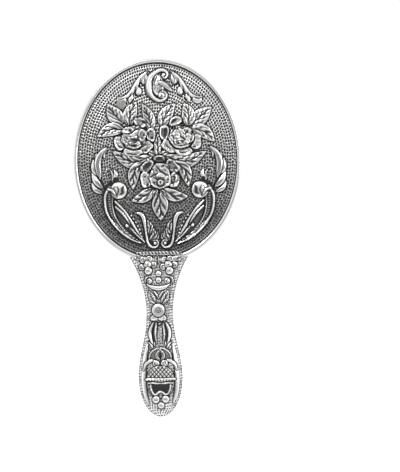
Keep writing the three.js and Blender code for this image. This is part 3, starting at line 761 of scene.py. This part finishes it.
def basket(relief):
    """A cross-hatched dome of fruit in a basket with a dark front, on three balls."""
    where, x, z = relief.near([(0, -28)], 8)
    dome = np.maximum((np.hypot(x / 6.1, (z + 29.2) / 5.7) - 1) * 5.7, -29.4 - z)
    relief.lay(where, dome, 0.5, 0.02)
    grid = np.maximum(comb((x + 0.9 * z) / 1.75, 2.4), comb((x - 0.9 * z) / 1.75, 2.4)) * (dome < -0.25)
    relief.cut(where, 0.25 * grid, grid)
    where, x, z = relief.near([(0, -34)], 9)
    bowl = np.maximum((np.hypot(x / 6.2, (z + 30.4) / 7.4) - 1) * 6.2, z + 30.4)
    relief.lay(where, bowl, 0.3, 0.3, 0.15)
    ribs = comb(np.arctan2(z + 30.4, x) * 11 / np.pi, 1) * (bowl > -1.7) * (bowl < -0.2)
    relief.cut(where, 0.12 * ribs, 0.95 * ribs)
    front = np.maximum(np.maximum(np.abs(x) - 4.3 - 0.15 * (z + 32), -35.4 - z - 0.5 * np.abs(x)), z + 31.6)
    relief.lay(where, front, 0.02, 0.96, 0.1)
    left, right = (mirrored(side, 0)((4.4, -31.6), (4.2, -34), (2.7, -36.4)) for side in (-1, 1))
    scroll(relief, [*left, (0, -35), *right[::-1]], [0.28, 0.35, 0.35, 0.28], 0.45, groove=0.05, dark=0.6)
    scroll(relief, [(-6.3, -29.6), (-3, -29.6), (0, -29.8), (3, -29.6), (6.3, -29.4)], [0.6, 0.75, 0.6], 0.5)
    scroll(relief, [(-5.6, -31), (0, -31.3), (5.6, -31)], [0.3, 0.4, 0.3], 0.5, dark=0.7)
    dots = comb(x / 1.3, 2) * np.exp(-(((z + 29.9) / 0.45) ** 2)) * (np.abs(x) < 5.6)
    relief.cut(where, 0.2 * dots, dots)
    for px, pz, radius in ((-2.2, -38.7, 1.6), (2.2, -38.5, 1.6), (0.1, -41.4, 1.4)):
        ball(relief, (px, pz), radius, 0.6, 0.0, 0.7)
        fold(relief, [(px - 0.8, pz + 0.1), (px + 0.8, pz - 0.1)], 0.2, 0.1, 0.5)


def front_flowers(relief):
    """Small flowers down the neck of the handle's front, each a bead between two leaves and two curls."""
    for middle, size in ((9.6, 1.1), (3.2, 0.95), (-2.8, 0.95)):
        for side in (-1, 1):
            at = mirrored(side, 0)
            leaf(relief, at((0.8, middle - 2.4), (2.9 * size, middle), (3.6 * size, middle + 3)), 1.3, 0.5, 3)
            curl = at((1.2, middle - 1.8), (3.4, middle - 2.6), (3.9 * size, middle - 1.2))
            scroll(relief, curl, [0.3, 0.5, 0.35], 0.5)
        berry(relief, (0, middle), 1.7 * size, 30)
        ball(relief, (0, middle + 2.6), 0.8, 0.5)


def chevrons(relief):
    """Leafy chevrons that fill the upper bulb of the handle's front."""
    for level in range(5):
        top = -7.4 - 3.6 * level
        reach = 0.6 * float(half_width(top))
        for side in (-1, 1):
            line = mirrored(side, 0)((0.3, top - 4), (0.6 * reach, top - 2), (reach, top))
            leaf(relief, line, 1.5, 0.5, 3)
            berry(relief, (side * (reach + 0.2), top - 1.6), 0.8, 90)
        ball(relief, (0, top - 1.2), 0.75, 0.5)


def boss(relief):
    """The polished dome low on the handle's front, in a round scrolled frame."""
    turn = np.linspace(0, 2 * np.pi, 13)
    for radius, thick in ((5.9, 0.7), (4.3, 0.45)):
        circle = np.stack([radius * np.cos(turn), -32.8 + radius * np.sin(turn)], axis=1)
        scroll(relief, circle, [thick, thick], 0.5)
    for side in (-1, 1):
        scroll(relief, mirrored(side, 0)((1.2, -26.6), (3.6, -26), (4.8, -27.4)), [0.3, 0.6, 0.3], 0.5)
        berry(relief, (side * 1.3, -39.6), 1.1, 90)
    ball(relief, (0, -32.8), 3.2, 0.62, 0.0)


def handle_relief(x, y, z, motifs):
    """The embossing of one side of the handle: what both sides have, and then this side's motifs."""
    relief = Relief(x, z)
    handle_ground(relief, y)
    for motif in (side_bands, collar_flowers, *motifs):
        motif(relief)
    return relief
# ---------------------------------------------------------------- meshes

OVAL_POINTS = 288
AGE_REACH = 4  # grid steps on each side over which a height is compared with what lies round it


def new_object(name, points, faces):
    """A mesh object made of points in mm, its faces turned outwards."""
    mesh = bpy.data.meshes.new(name)
    mesh.from_pydata((np.asarray(points, float) * MM).tolist(), [], faces)
    cleaned = bmesh.new()
    cleaned.from_mesh(mesh)
    bmesh.ops.remove_doubles(cleaned, verts=cleaned.verts, dist=1e-7)
    bmesh.ops.recalc_face_normals(cleaned, faces=cleaned.faces)
    cleaned.to_mesh(mesh)
    cleaned.free()
    made = bpy.data.objects.new(name, mesh)
    bpy.context.scene.collection.objects.link(made)
    return made


def new_piece(name, points, faces, node, slot, material):
    """A piece of the mirror. It rides the mirror's one body and stands for a CAD node."""
    piece = new_object(name, points, faces)
    piece.data.materials.append(material)
    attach(piece, "root")
    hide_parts(node)
    return piece


def smooth(piece, angle):
    piece.data.polygons.foreach_set("use_smooth", [True] * len(piece.data.polygons))
    piece.data.set_sharp_from_angle(angle=np.radians(angle))


def set_layer(piece, name, values):
    layer = piece.data.attributes.new(name, "FLOAT", "POINT")
    layer.data.foreach_set("value", np.ascontiguousarray(values, dtype=np.float32))


def layers_from(piece, points, reach=0.06, **layers):
    """Gives each vertex the layers' values at the nearest of points (mm), or inner ones if none is near."""
    tree = KDTree(len(points))
    for i, point in enumerate(points):
        tree.insert(Vector(point) * MM, i)
    tree.balance()
    found = [tree.find(vertex.co) for vertex in piece.data.vertices]
    for name, (values, inner) in layers.items():
        set_layer(piece, name, [values[i] if far < reach * MM else inner for _, i, far in found])


def oval(inset, y):
    """A ring of points at the head's outline, moved inwards."""
    turn = np.arange(OVAL_POINTS) * 2 * np.pi / OVAL_POINTS
    x = (HEAD_HALF_WIDTH - inset) * np.cos(turn)
    z = HEAD_Z + (HEAD_HALF_HEIGHT - inset) * np.sin(turn)
    return np.stack([x, np.full(OVAL_POINTS, float(y)), z], axis=1)


def stitch(first, second):
    """Faces between two rings of points, which are given by their numbers."""
    return np.stack([first, second, np.roll(second, -1), np.roll(first, -1)], axis=1).tolist()


def grid_faces(rows, count):
    cell = (np.arange(rows - 1)[:, None] * count + np.arange(count - 1)).ravel()
    return np.stack([cell, cell + 1, cell + count + 1, cell + count], axis=1).tolist()


def skin(rings, hoop=False):
    """A solid through rings with as many points each. It ends in flat faces, or joins up again as a hoop."""
    count = len(rings[0])
    numbers = np.arange(len(rings) * count).reshape(-1, count)
    faces = [] if hoop else [numbers[0, ::-1].tolist(), numbers[-1].tolist()]
    for k in range(0 if hoop else 1, len(rings)):
        faces += stitch(numbers[k - 1], numbers[k])
    return np.vstack(rings), faces


def carve(piece, *shapes):
    """Cuts each shape (points and faces) out of the piece."""
    tools = [new_object("cutter", *shape) for shape in shapes]
    for tool in tools:
        step = piece.modifiers.new("carve", "BOOLEAN")
        step.operation = "DIFFERENCE"
        step.solver = "MANIFOLD"
        step.object = tool
    graph = bpy.context.evaluated_depsgraph_get()
    carved = bpy.data.meshes.new_from_object(piece.evaluated_get(graph))
    piece.modifiers.clear()
    piece.data = carved
    for tool in tools:
        bpy.data.objects.remove(tool)


# ---------------------------------------------------------------- the head's pieces

RINGS = 154  # of the grid that carries the embossing, from its middle to its edge
FLANGE_RINGS = 4
FLANGE_FRONT = -1.2
BORDER_START = 0.938  # shares of the flange's oval: from here outwards the embossing fades
BORDER_FADE = 0.012
PITS_END = 0.951
EDGE_LINE = 0.95  # the painted shadow line round the dome's foot, in the gap before the bead
FOOT_SHADOW_DARKNESS = 0.5
FLANGE_SHADOW_DARKNESS = 0.85
INSIDE_TARNISH = 0.4


def disc_grid():
    """A square grid bent into the flange's oval: each point's ring, share of the oval, angle, x and z."""
    side = np.arange(-RINGS, RINGS + 1)
    i, j = (v.ravel().astype(float) for v in np.meshgrid(side, side, indexing="ij"))
    ring = np.maximum(np.abs(i), np.abs(j)).astype(int)
    steep = np.abs(j) > np.abs(i)
    longer = np.where(steep, j, i)
    slant = np.pi / 4 * np.where(steep, i, j) / np.where(longer == 0, 1, longer)
    angle = np.where(steep, np.pi / 2 - slant, slant) + np.where(longer < 0, np.pi, 0)
    dome = np.linspace(0, DOME_SHARE, RINGS - FLANGE_RINGS + 1)
    share = np.concatenate([dome, np.linspace(DOME_SHARE + 0.005, 1, FLANGE_RINGS)])[ring]
    x = share * np.cos(angle) * (HEAD_HALF_WIDTH - FLANGE_INSET)
    z = share * np.sin(angle) * (HEAD_HALF_HEIGHT - FLANGE_INSET)
    return ring, share, angle, x, z


def dome_depth(share):
    return DOME_EDGE + DOME_RISE * (1 - (share / DOME_SHARE) ** 2)


def make_back_shell(material):
    """The pressed back: the embossed grid outside and a plain dome inside."""
    ring, share, angle, x, z = disc_grid()
    count = 2 * RINGS + 1
    relief = head_relief(x, z)
    relief.age((count, count), AGE_REACH, 0.38, 0.12)
    on_dome = share <= DOME_SHARE
    border = ease((share - BORDER_START) / BORDER_FADE)
    height = np.minimum(relief.height * (1 - border), HEAD_RELIEF_MOST)
    depth = np.where(on_dome, dome_depth(share) + height, -FLANGE_BACK)
    outer = np.stack([x, -depth, z + HEAD_Z], axis=1)
    edge = np.nonzero(ring == RINGS)[0]
    edge = edge[np.argsort(angle[edge] % (2 * np.pi))]
    points, faces, last = [outer], grid_faces(count, count), edge
    for k, part in enumerate((1, DOME_SHARE - 0.01, 0.5)):
        inside = HEAD_SHEET - dome_depth(part) if k else FLANGE_FRONT
        points.append(outer[edge] * [part, 0, part] + [0, inside, HEAD_Z * (1 - part)])
        numbers = len(outer) + k * len(edge) + np.arange(len(edge))
        faces += stitch(last, numbers)
        last = numbers
    points = np.vstack([*points, [[0, HEAD_SHEET - dome_depth(0), HEAD_Z]]])
    faces += [[a, len(points) - 1, b] for a, b in zip(last.tolist(), np.roll(last, -1).tolist())]
    piece = new_piece("embossed_back", points, faces, "back_shell", "antique_silver", material)
    # painted shadow: a dark line round the dome's foot and a dark flange beyond it, for the shaded gap
    # between the dome and the bead
    line = FOOT_SHADOW_DARKNESS * ease((share - EDGE_LINE) / 0.005)
    tarnish = np.where(on_dome, np.maximum(relief.tarnish * (1 - 0.5 * border), line), FLANGE_SHADOW_DARKNESS)
    ground = relief.ground * ease((PITS_END - share) / 0.004)
    for name, values, inner in ("tarnish", tarnish, INSIDE_TARNISH), ("ground", ground, 0):
        set_layer(piece, name, np.append(values, np.full(len(points) - len(outer), inner)))
    smooth(piece, 62)


def make_rim_band(material):
    """The plain band: a half-round bead behind, a thin wall and a narrow lip over the glass."""
    half, rise = BEAD_WIDTH / 2, BEAD_CREST - BEAD_FOOT
    turns = np.linspace(0, np.pi, 15)
    bead = [(half + half * np.cos(turn), BEAD_FOOT + rise * np.sin(turn)) for turn in turns]
    lip = [(0, 2.45), (0.04, 2.62), (0.13, 2.76), (0.28, LIP_FRONT), (1.08, LIP_FRONT), (LIP_WIDTH, 2.74)]
    inside = [(LIP_WIDTH, LIP_BACK), (0.5, LIP_BACK), (0.5, BEAD_UNDERSIDE), (BEAD_WIDTH, BEAD_UNDERSIDE)]
    wall = [(0, -2.05), (0, 2.3)]
    points, faces = skin([oval(inset, y) for inset, y in [*lip, *inside, *bead, *wall]], hoop=True)
    piece = new_piece("polished_rim", points, faces, "rim_band", "polished_silver", material)
    tang_section = ((-3.3, -1.35), (3.3, -1.35), (3.3, 0.25), (-3.3, 0.25))
    bottom = HEAD_Z - HEAD_HALF_HEIGHT
    carve(piece, skin([[(x, y, z) for x, y in tang_section] for z in (bottom - 1, bottom + 2)]))
    smooth(piece, 32)


def make_glass(material):
    """The pane, with a ground bevel under the lip."""
    back_edge = [(GLASS_INSET + 0.1, GLASS_BACK), (GLASS_INSET, GLASS_BACK + 0.1)]
    rings = [oval(inset, y) for inset, y in [*back_edge, (GLASS_INSET, 2.0), (1.3, GLASS_FRONT)]]
    smooth(new_piece("pane", *skin(rings), "mirror_glass", "glass", material), 20)


# ---------------------------------------------------------------- the handle's shells

STATION_PITCH = 0.23
ACROSS = 112  # steps from seam to seam
SEAM_LINE = 0.45  # mm from the seam within which the sheet's edge is dark
SEAM_FADE = 1.2  # mm over which the relief rises beside the seam


def along_handle(z, bulb, waist, shoulder, foot):
    """A half size of the handle at z, from its sizes at three places."""
    foot_part = bulb * np.sqrt(np.clip(1 - ((BULB_Z - z) / (BULB_Z - foot)) ** 2, 0, 1))
    grip = waist + (bulb - waist) * (0.5 - 0.5 * np.cos(np.pi * np.clip(z / BULB_Z, 0, 1)))
    neck = waist + (shoulder - waist) * np.clip(z / SHOULDER_Z, 0, 1) ** 2
    return np.where(z < BULB_Z, foot_part, np.where(z < 0, grip, neck))


def half_width(z, foot=-GRIP_TO_FOOT):
    beyond = np.clip(z - SHOULDER_Z, 0, None) / (COLLAR_Z - SHOULDER_Z)
    plain = along_handle(z, BULB_HALF_WIDTH, WAIST_HALF_WIDTH, SHOULDER_HALF_WIDTH, foot)
    return plain - beyond * (SHOULDER_HALF_WIDTH - COLLAR_HALF_WIDTH)


def section(z, inset, side, count):
    """Points evenly along the half section at z, from its +X seam to its -X seam."""
    foot = -GRIP_TO_FOOT + inset
    width = max(float(half_width(z, foot)) - inset, 0.02)
    depth = max(float(along_handle(z, BULB_DEPTH, WAIST_DEPTH, COLLAR_DEPTH, foot)) - inset, 0.02)
    squareness = 2.7 + 3.3 * max(0, z / COLLAR_Z) ** 2
    turn = np.linspace(0, np.pi, 721)
    x = width * np.sign(np.cos(turn)) * np.abs(np.cos(turn)) ** (2 / squareness)
    y = depth * np.sin(turn) ** (2 / squareness)
    run = np.concatenate([[0], np.cumsum(np.hypot(np.diff(x), np.diff(y)))])
    even = np.linspace(0, run[-1], count)
    x, y = np.interp(even, run, x), np.interp(even, run, y)
    return np.stack([x, side * np.maximum(y, SEAM / 2), np.full(count, z)], axis=1)


def half_shell(inset, side, top, pitch, count):
    """Sections up the handle, crowding towards its foot so that the steps along its skin stay even."""
    foot = -GRIP_TO_FOOT + inset
    round_part = BULB_Z - (BULB_Z - foot) * np.sin(np.linspace(np.pi / 2, 0, int(26 / pitch)))
    straight = np.linspace(BULB_Z, top, int((top - BULB_Z) / pitch))
    return np.array([section(z, inset, side, count) for z in (*round_part[1:-1], *straight)])


def close_half(grid, side, foot):
    """A closed solid from a half shell's grid: its skin, its flat seam side, its top and its foot."""
    rows, count, _ = grid.shape
    points = np.vstack([grid.reshape(-1, 3), [[0, side * SEAM / 2, foot]]])
    start = np.arange(rows - 1) * count
    seam = np.stack([start, start + count, start + 2 * count - 1, start + count - 1], axis=1).tolist()
    top = [(rows - 1) * count + i for i in range(count)]
    tip = rows * count
    end = [[i + 1, i, tip] for i in range(count - 1)] + [[0, count - 1, tip]]
    return points, [*grid_faces(rows, count), *seam, top, *end]


def grid_normals(grid, side):
    """Outward directions over a half shell's grid."""
    out = np.cross(np.gradient(grid, axis=1), np.gradient(grid, axis=0))
    out /= np.maximum(np.linalg.norm(out, axis=2, keepdims=True), 1e-9)
    return out * np.sign(side * out[:, out.shape[1] // 2, 1].mean())


def make_handle_shell(name, node, side, motifs, material):
    """One half of the handle: its relief goes into the CAD surface, and fades out at the seam."""
    grid = half_shell(0, side, COLLAR_Z, STATION_PITCH, ACROSS + 1)
    flat = grid.reshape(-1, 3)
    relief = handle_relief(*flat.T, motifs)
    relief.age(grid.shape[:2], AGE_REACH, 0.45, 0.1)
    steps = np.linalg.norm(np.diff(grid, axis=1, prepend=grid[:, :1]), axis=2)
    run = np.cumsum(steps, axis=1)
    from_seam = np.minimum(run, run[:, -1:] - run).ravel()
    fade = ease((from_seam - 0.4) / SEAM_FADE) * ease((flat[:, 2] + GRIP_TO_FOOT) / 1.5)
    sink = (HANDLE_RELIEF_MOST - np.minimum(relief.height, HANDLE_RELIEF_MOST)) * fade
    outside = flat - grid_normals(grid, side).reshape(-1, 3) * sink[:, None]
    points, faces = close_half(outside.reshape(grid.shape), side, -GRIP_TO_FOOT)
    piece = new_piece(name, points, faces, node, "antique_silver", material)
    inner = half_shell(HANDLE_WALL, side, COLLAR_Z + 1, 1.5, 33)
    inner[:, :, 1] -= side * SEAM
    reach = COLLAR_DEPTH - 0.6
    head = skin([oval(-CLEAR, y) for y in (-reach, reach)])
    carve(piece, close_half(inner, side, -GRIP_TO_FOOT + HANDLE_WALL), head)
    tarnish = np.maximum(relief.tarnish, 0.9 * ease((SEAM_LINE - from_seam) / 0.3))
    layers_from(piece, outside, tarnish=(tarnish, 0.45), ground=(relief.ground, 0))
    smooth(piece, 55)


# ---------------------------------------------------------------- materials

PIT_EDGE = -0.0875, 0.0875  # mm inside a pit's edge where its colour begins and where it is full
DOT_EDGE = -0.1, 0.08
DOT_TARNISH = 0.85

MATH_NODES = {
    np.add: "ADD", np.subtract: "SUBTRACT", np.multiply: "MULTIPLY", np.divide: "DIVIDE", np.power: "POWER",
    np.minimum: "MINIMUM", np.maximum: "MAXIMUM", np.abs: "ABSOLUTE", np.sign: "SIGN", np.rint: "ROUND",
    np.sin: "SINE", np.arctan2: "ARCTAN2",
}


class Value(np.lib.mixins.NDArrayOperatorsMixin):
    """A number in a node tree. Sums with it, and numpy's functions of it, become math nodes."""

    def __init__(self, nodes, socket):
        self.nodes, self.socket = nodes, socket

    def __array_ufunc__(self, function, method, *inputs, **options):
        return self.nodes.out("ShaderNodeMath", dict(enumerate(inputs)), operation=MATH_NODES[function])


class Nodes:
    """A short way to add and join the nodes of a material or a world."""

    def __init__(self, owner):
        self.owner = owner
        owner.use_nodes = True

    def add(self, kind, inputs=None, **settings):
        node = self.owner.node_tree.nodes.new(kind)
        for key, value in settings.items():
            setattr(node, key, value)
        self.feed(node, inputs or {})
        return node

    def feed(self, node, inputs):
        for key, value in inputs.items():
            if isinstance(value, Value):
                self.owner.node_tree.links.new(value.socket, node.inputs[key])
            else:
                node.inputs[key].default_value = value

    def out(self, kind, inputs=None, output=0, **settings):
        return Value(self, self.add(kind, inputs, **settings).outputs[output])

    def place(self, kind="Object"):
        return self.out("ShaderNodeTexCoord", output=kind)

    def axes(self, vector):
        return [Value(self, socket) for socket in self.add("ShaderNodeSeparateXYZ", {0: vector}).outputs]

    def layer(self, name):
        return self.out("ShaderNodeAttribute", output="Fac", attribute_name=name)

    def noise(self, scale, detail=4.0, stretch=None):
        place = self.place()
        if stretch:
            place = self.out("ShaderNodeMapping", {"Vector": place, "Scale": stretch})
        return self.out("ShaderNodeTexNoise", {"Vector": place, "Scale": scale, "Detail": detail}, "Fac")

    def spread(self, value, low, high, to_low, to_high):
        return self.out("ShaderNodeMapRange", {0: value, 1: low, 2: high, 3: to_low, 4: to_high})

    def blend(self, factor, first, second):
        return self.out("ShaderNodeMix", {0: factor, 6: first, 7: second}, 2, data_type="RGBA")

    def bump(self, height, strength, distance, **more):
        inputs = {"Height": height, "Strength": strength, "Distance": distance, **more}
        return self.out("ShaderNodeBump", inputs)

    def ramp(self, value, stops):
        node = self.add("ShaderNodeValToRGB", {0: value})
        steps = node.color_ramp.elements
        while len(steps) < len(stops):
            steps.new(0.5)
        for step, (place, shade) in zip(steps, stops):
            step.position = place
            step.color = grey(shade)
        return Value(self, node.outputs[0])

    def finish(self, **inputs):
        shader = self.owner.node_tree.nodes["Principled BSDF"]
        self.feed(shader, {key.replace("_", " "): value for key, value in inputs.items()})
        return self.owner


def new_material(name):
    return Nodes(bpy.data.materials.new(name))


def grey(value, warmth=0.0):
    return value * (1 + warmth), value, value * (1 - warmth), 1


def head_pit_reach(x, _, z):
    return pit_reach(x, z - HEAD_Z)


def antique_silver(name, reach, edge, darkest):
    """Silver darkened where the tarnish layer says: oxide in its hollows, where the polishing cloth missed,
    and painted shade and reflection laid into the same layer.

    reach gives how far inside the nearest punched mark a place is, and the mark darkens over the range edge.
    """
    n = new_material(name)
    x, y, z = n.axes(n.place())
    marks = n.spread(reach(x / MM, y / MM, z / MM), *edge, 0, darkest) * n.layer("ground")
    patches = n.spread(n.noise(90), 0.35, 0.7, -0.04, 0.08)
    specks = n.spread(n.noise(900, 2), 0.55, 0.75, 0, 0.1)
    dark = n.spread(np.maximum(n.layer("tarnish"), marks) + (patches + specks), 0.02, 0.95, 0, 1)
    colour = n.blend((1 - dark) ** 1.9, grey(0.055), grey(0.95, 0.006))
    scratches = n.noise(60, 6, (1, 1, 22))
    rough = n.spread(dark, 0, 1, 0.24, 0.6) + n.spread(scratches, 0.3, 0.7, -0.05, 0.08)
    normal = n.bump(n.noise(1500, 2) * 0.5 + scratches * 0.5, 0.25, 0.00005)
    normal = n.bump(1 - marks, 0.6, 0.0002, Normal=normal)
    return n.finish(Base_Color=colour, Metallic=1.0, Roughness=rough, Normal=normal)


def polished_silver():
    """Plain bright silver: hair scratches along the band, some bloom, and a duller lip round the glass."""
    n = new_material("polished_silver")
    bloom = n.noise(45)
    hair = n.noise(300, 5, (1, 12, 1))
    lip = n.spread(n.axes(n.place())[1], (LIP_BACK - 0.4) * MM, LIP_BACK * MM, 0, 1)
    colour = n.blend(n.spread(bloom, 0.3, 0.75, 0, 1), grey(0.86, 0.005), grey(0.72, 0.01))
    colour = n.blend(lip, colour, grey(0.42, 0.01))
    rough = n.spread(bloom, 0.3, 0.75, 0.12, 0.22) + n.spread(hair, 0.4, 0.7, 0, 0.08)
    return n.finish(Base_Color=colour, Metallic=1.0, Roughness=rough, Normal=n.bump(hair, 0.12, 0.00004))


def glass():
    n = new_material("glass")
    smear = n.noise(35, 5, (1, 1, 2))
    tint = n.blend(smear, (0.97, 0.99, 0.985, 1), (0.985, 0.995, 0.99, 1))
    rough = n.spread(smear, 0.45, 0.75, 0.0, 0.03)
    return n.finish(Base_Color=tint, Roughness=rough, Transmission_Weight=1.0, IOR=1.5)


def mirror_coat():
    n = new_material("mirror_coat")
    age = n.noise(120, 6)
    colour = n.blend(n.spread(age, 0.68, 0.9, 0, 1), grey(0.93), grey(0.7, 0.02))
    return n.finish(Base_Color=colour, Metallic=1.0, Roughness=n.spread(age, 0.4, 0.8, 0.015, 0.05))


def board():
    n = new_material("board")
    fibres = n.noise(400, 6, (1, 1, 0.3))
    colour = n.blend(fibres, (0.3, 0.23, 0.15, 1), (0.46, 0.38, 0.28, 1))
    rough = n.spread(fibres, 0.3, 0.7, 0.75, 0.95)
    return n.finish(Base_Color=colour, Roughness=rough, Normal=n.bump(fibres, 0.3, 0.0001))


def pitch():
    n = new_material("pitch")
    lumps = n.noise(150, 3)
    colour = n.blend(lumps, (0.02, 0.014, 0.01, 1), (0.06, 0.045, 0.03, 1))
    rough = n.spread(lumps, 0.3, 0.7, 0.25, 0.6)
    return n.finish(Base_Color=colour, Roughness=rough, Normal=n.bump(lumps, 0.4, 0.0003))


def steel():
    n = new_material("steel")
    brushed = n.noise(200, 5, (30, 1, 1))
    colour = n.blend(brushed, grey(0.4), grey(0.55))
    return n.finish(Base_Color=colour, Metallic=1.0, Roughness=n.spread(brushed, 0.3, 0.7, 0.3, 0.5))


def wear(node, material):
    """Gives a CAD piece that stays in sight its Blender material."""
    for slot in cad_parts[node].material_slots:
        slot.material = material
    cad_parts[node].data.materials[0] = material


# ---------------------------------------------------------------- studio

FLOOR_RADIUS = 900
CAMERA_FAR = 0.8
CAMERA_PLACE = (0.0185, -CAMERA_FAR, 0.034)
CAMERA_ROLL = -0.85  # degrees
FRAME_TALL = 0.2109  # metres of the object's plane from the top to the bottom of the picture


def make_world():
    """A white room: bright at both sides, dim low down behind the camera, and grey beyond the mirror.

    The camera itself sees plain white.
    """
    world = bpy.data.worlds.new("studio")
    bpy.context.scene.world = world
    n = Nodes(world)
    x, y, z = n.axes(n.place("Generated"))
    height = n.spread(z, -1, 1, 0, 1)
    stops = (0, 1), (0.2, 0.9), (0.34, 0.42), (0.44, 0.34), (0.5, 0.5), (0.58, 0.8), (1, 1)
    before = n.ramp(height, stops)
    beyond = n.ramp(height, ((0, 0.6), (0.34, 0.62), (0.46, 0.95), (0.54, 0.5), (0.7, 0.6), (1, 0.75)))
    room = n.blend(n.spread(y, -0.25, 0.35, 0, 1), before, beyond)
    room = n.blend(n.ramp(np.abs(x), ((0, 0), (0.72, 0), (0.9, 1))), room, grey(1.1))
    room = n.blend(n.out("ShaderNodeLightPath", output="Is Camera Ray"), room, grey(1))
    n.feed(world.node_tree.nodes["Background"], {"Color": room, "Strength": 1.1})


def soft_light(name, place, size, power):
    data = bpy.data.lights.new(name, "AREA")
    data.shape = "RECTANGLE"
    data.size, data.size_y = size
    data.energy = power
    light = bpy.data.objects.new(name, data)
    light.location = place
    light.rotation_euler = (Vector((0, 0, 0.05)) - light.location).to_track_quat("-Z", "Y").to_euler()
    bpy.context.scene.collection.objects.link(light)


def make_floor():
    """A white table top just below the mirror's foot."""
    turn = np.arange(96) * 2 * np.pi / 96
    level = np.full(96, -GRIP_TO_FOOT - 0.4)
    points = np.stack([FLOOR_RADIUS * np.cos(turn), FLOOR_RADIUS * np.sin(turn), level], axis=1)
    floor = new_object("floor", points, [list(range(96))])
    n = new_material("white_table")
    white = n.finish(Base_Color=grey(0.9), Roughness=0.9, Emission_Color=grey(1), Emission_Strength=0.7)
    floor.data.materials.append(white)
    floor.visible_glossy = False
    floor.visible_transmission = False


def make_camera():
    """Level with the middle of the picture, square on to the embossed back, and rolled a little."""
    data = bpy.data.cameras.new("camera")
    data.sensor_width = 36
    data.lens = data.sensor_width * CAMERA_FAR / FRAME_TALL
    data.clip_start, data.clip_end = 0.05, 10
    camera = bpy.data.objects.new("camera", data)
    camera.location = CAMERA_PLACE
    level = Euler((np.radians(90), 0, 0)).to_matrix()
    camera.rotation_euler = (level @ Euler((0, 0, np.radians(CAMERA_ROLL))).to_matrix()).to_euler()
    bpy.context.scene.collection.objects.link(camera)
    bpy.context.scene.camera = camera


# ---------------------------------------------------------------- the scene

dotted_silver = antique_silver("antique_silver", dot_reach, DOT_EDGE, DOT_TARNISH)
make_back_shell(antique_silver("punched_silver", head_pit_reach, PIT_EDGE, 1))
make_rim_band(polished_silver())
make_glass(glass())
back_motifs = waist_flower, slotted_petals, tulip_arch, basket
front_motifs = front_flowers, chevrons, boss
make_handle_shell("handle_back", "handle_back_shell", -1, back_motifs, dotted_silver)
make_handle_shell("handle_front", "handle_front_shell", 1, front_motifs, dotted_silver)
wear("mirror_silvering", mirror_coat())
wear("backing_board", board())
tar = pitch()
wear("head_filler", tar)
wear("handle_filler", tar)
wear("tang", steel())

make_world()
soft_light("key", (-0.5, -0.8, 0.9), (0.5, 0.35), 6)
soft_light("fill", (0.8, -0.7, 0.35), (0.25, 0.7), 3)
soft_light("back", (0.3, 0.9, 0.7), (0.7, 0.5), 6)
make_floor()
make_camera()
bpy.context.scene.view_settings.view_transform = "Standard"
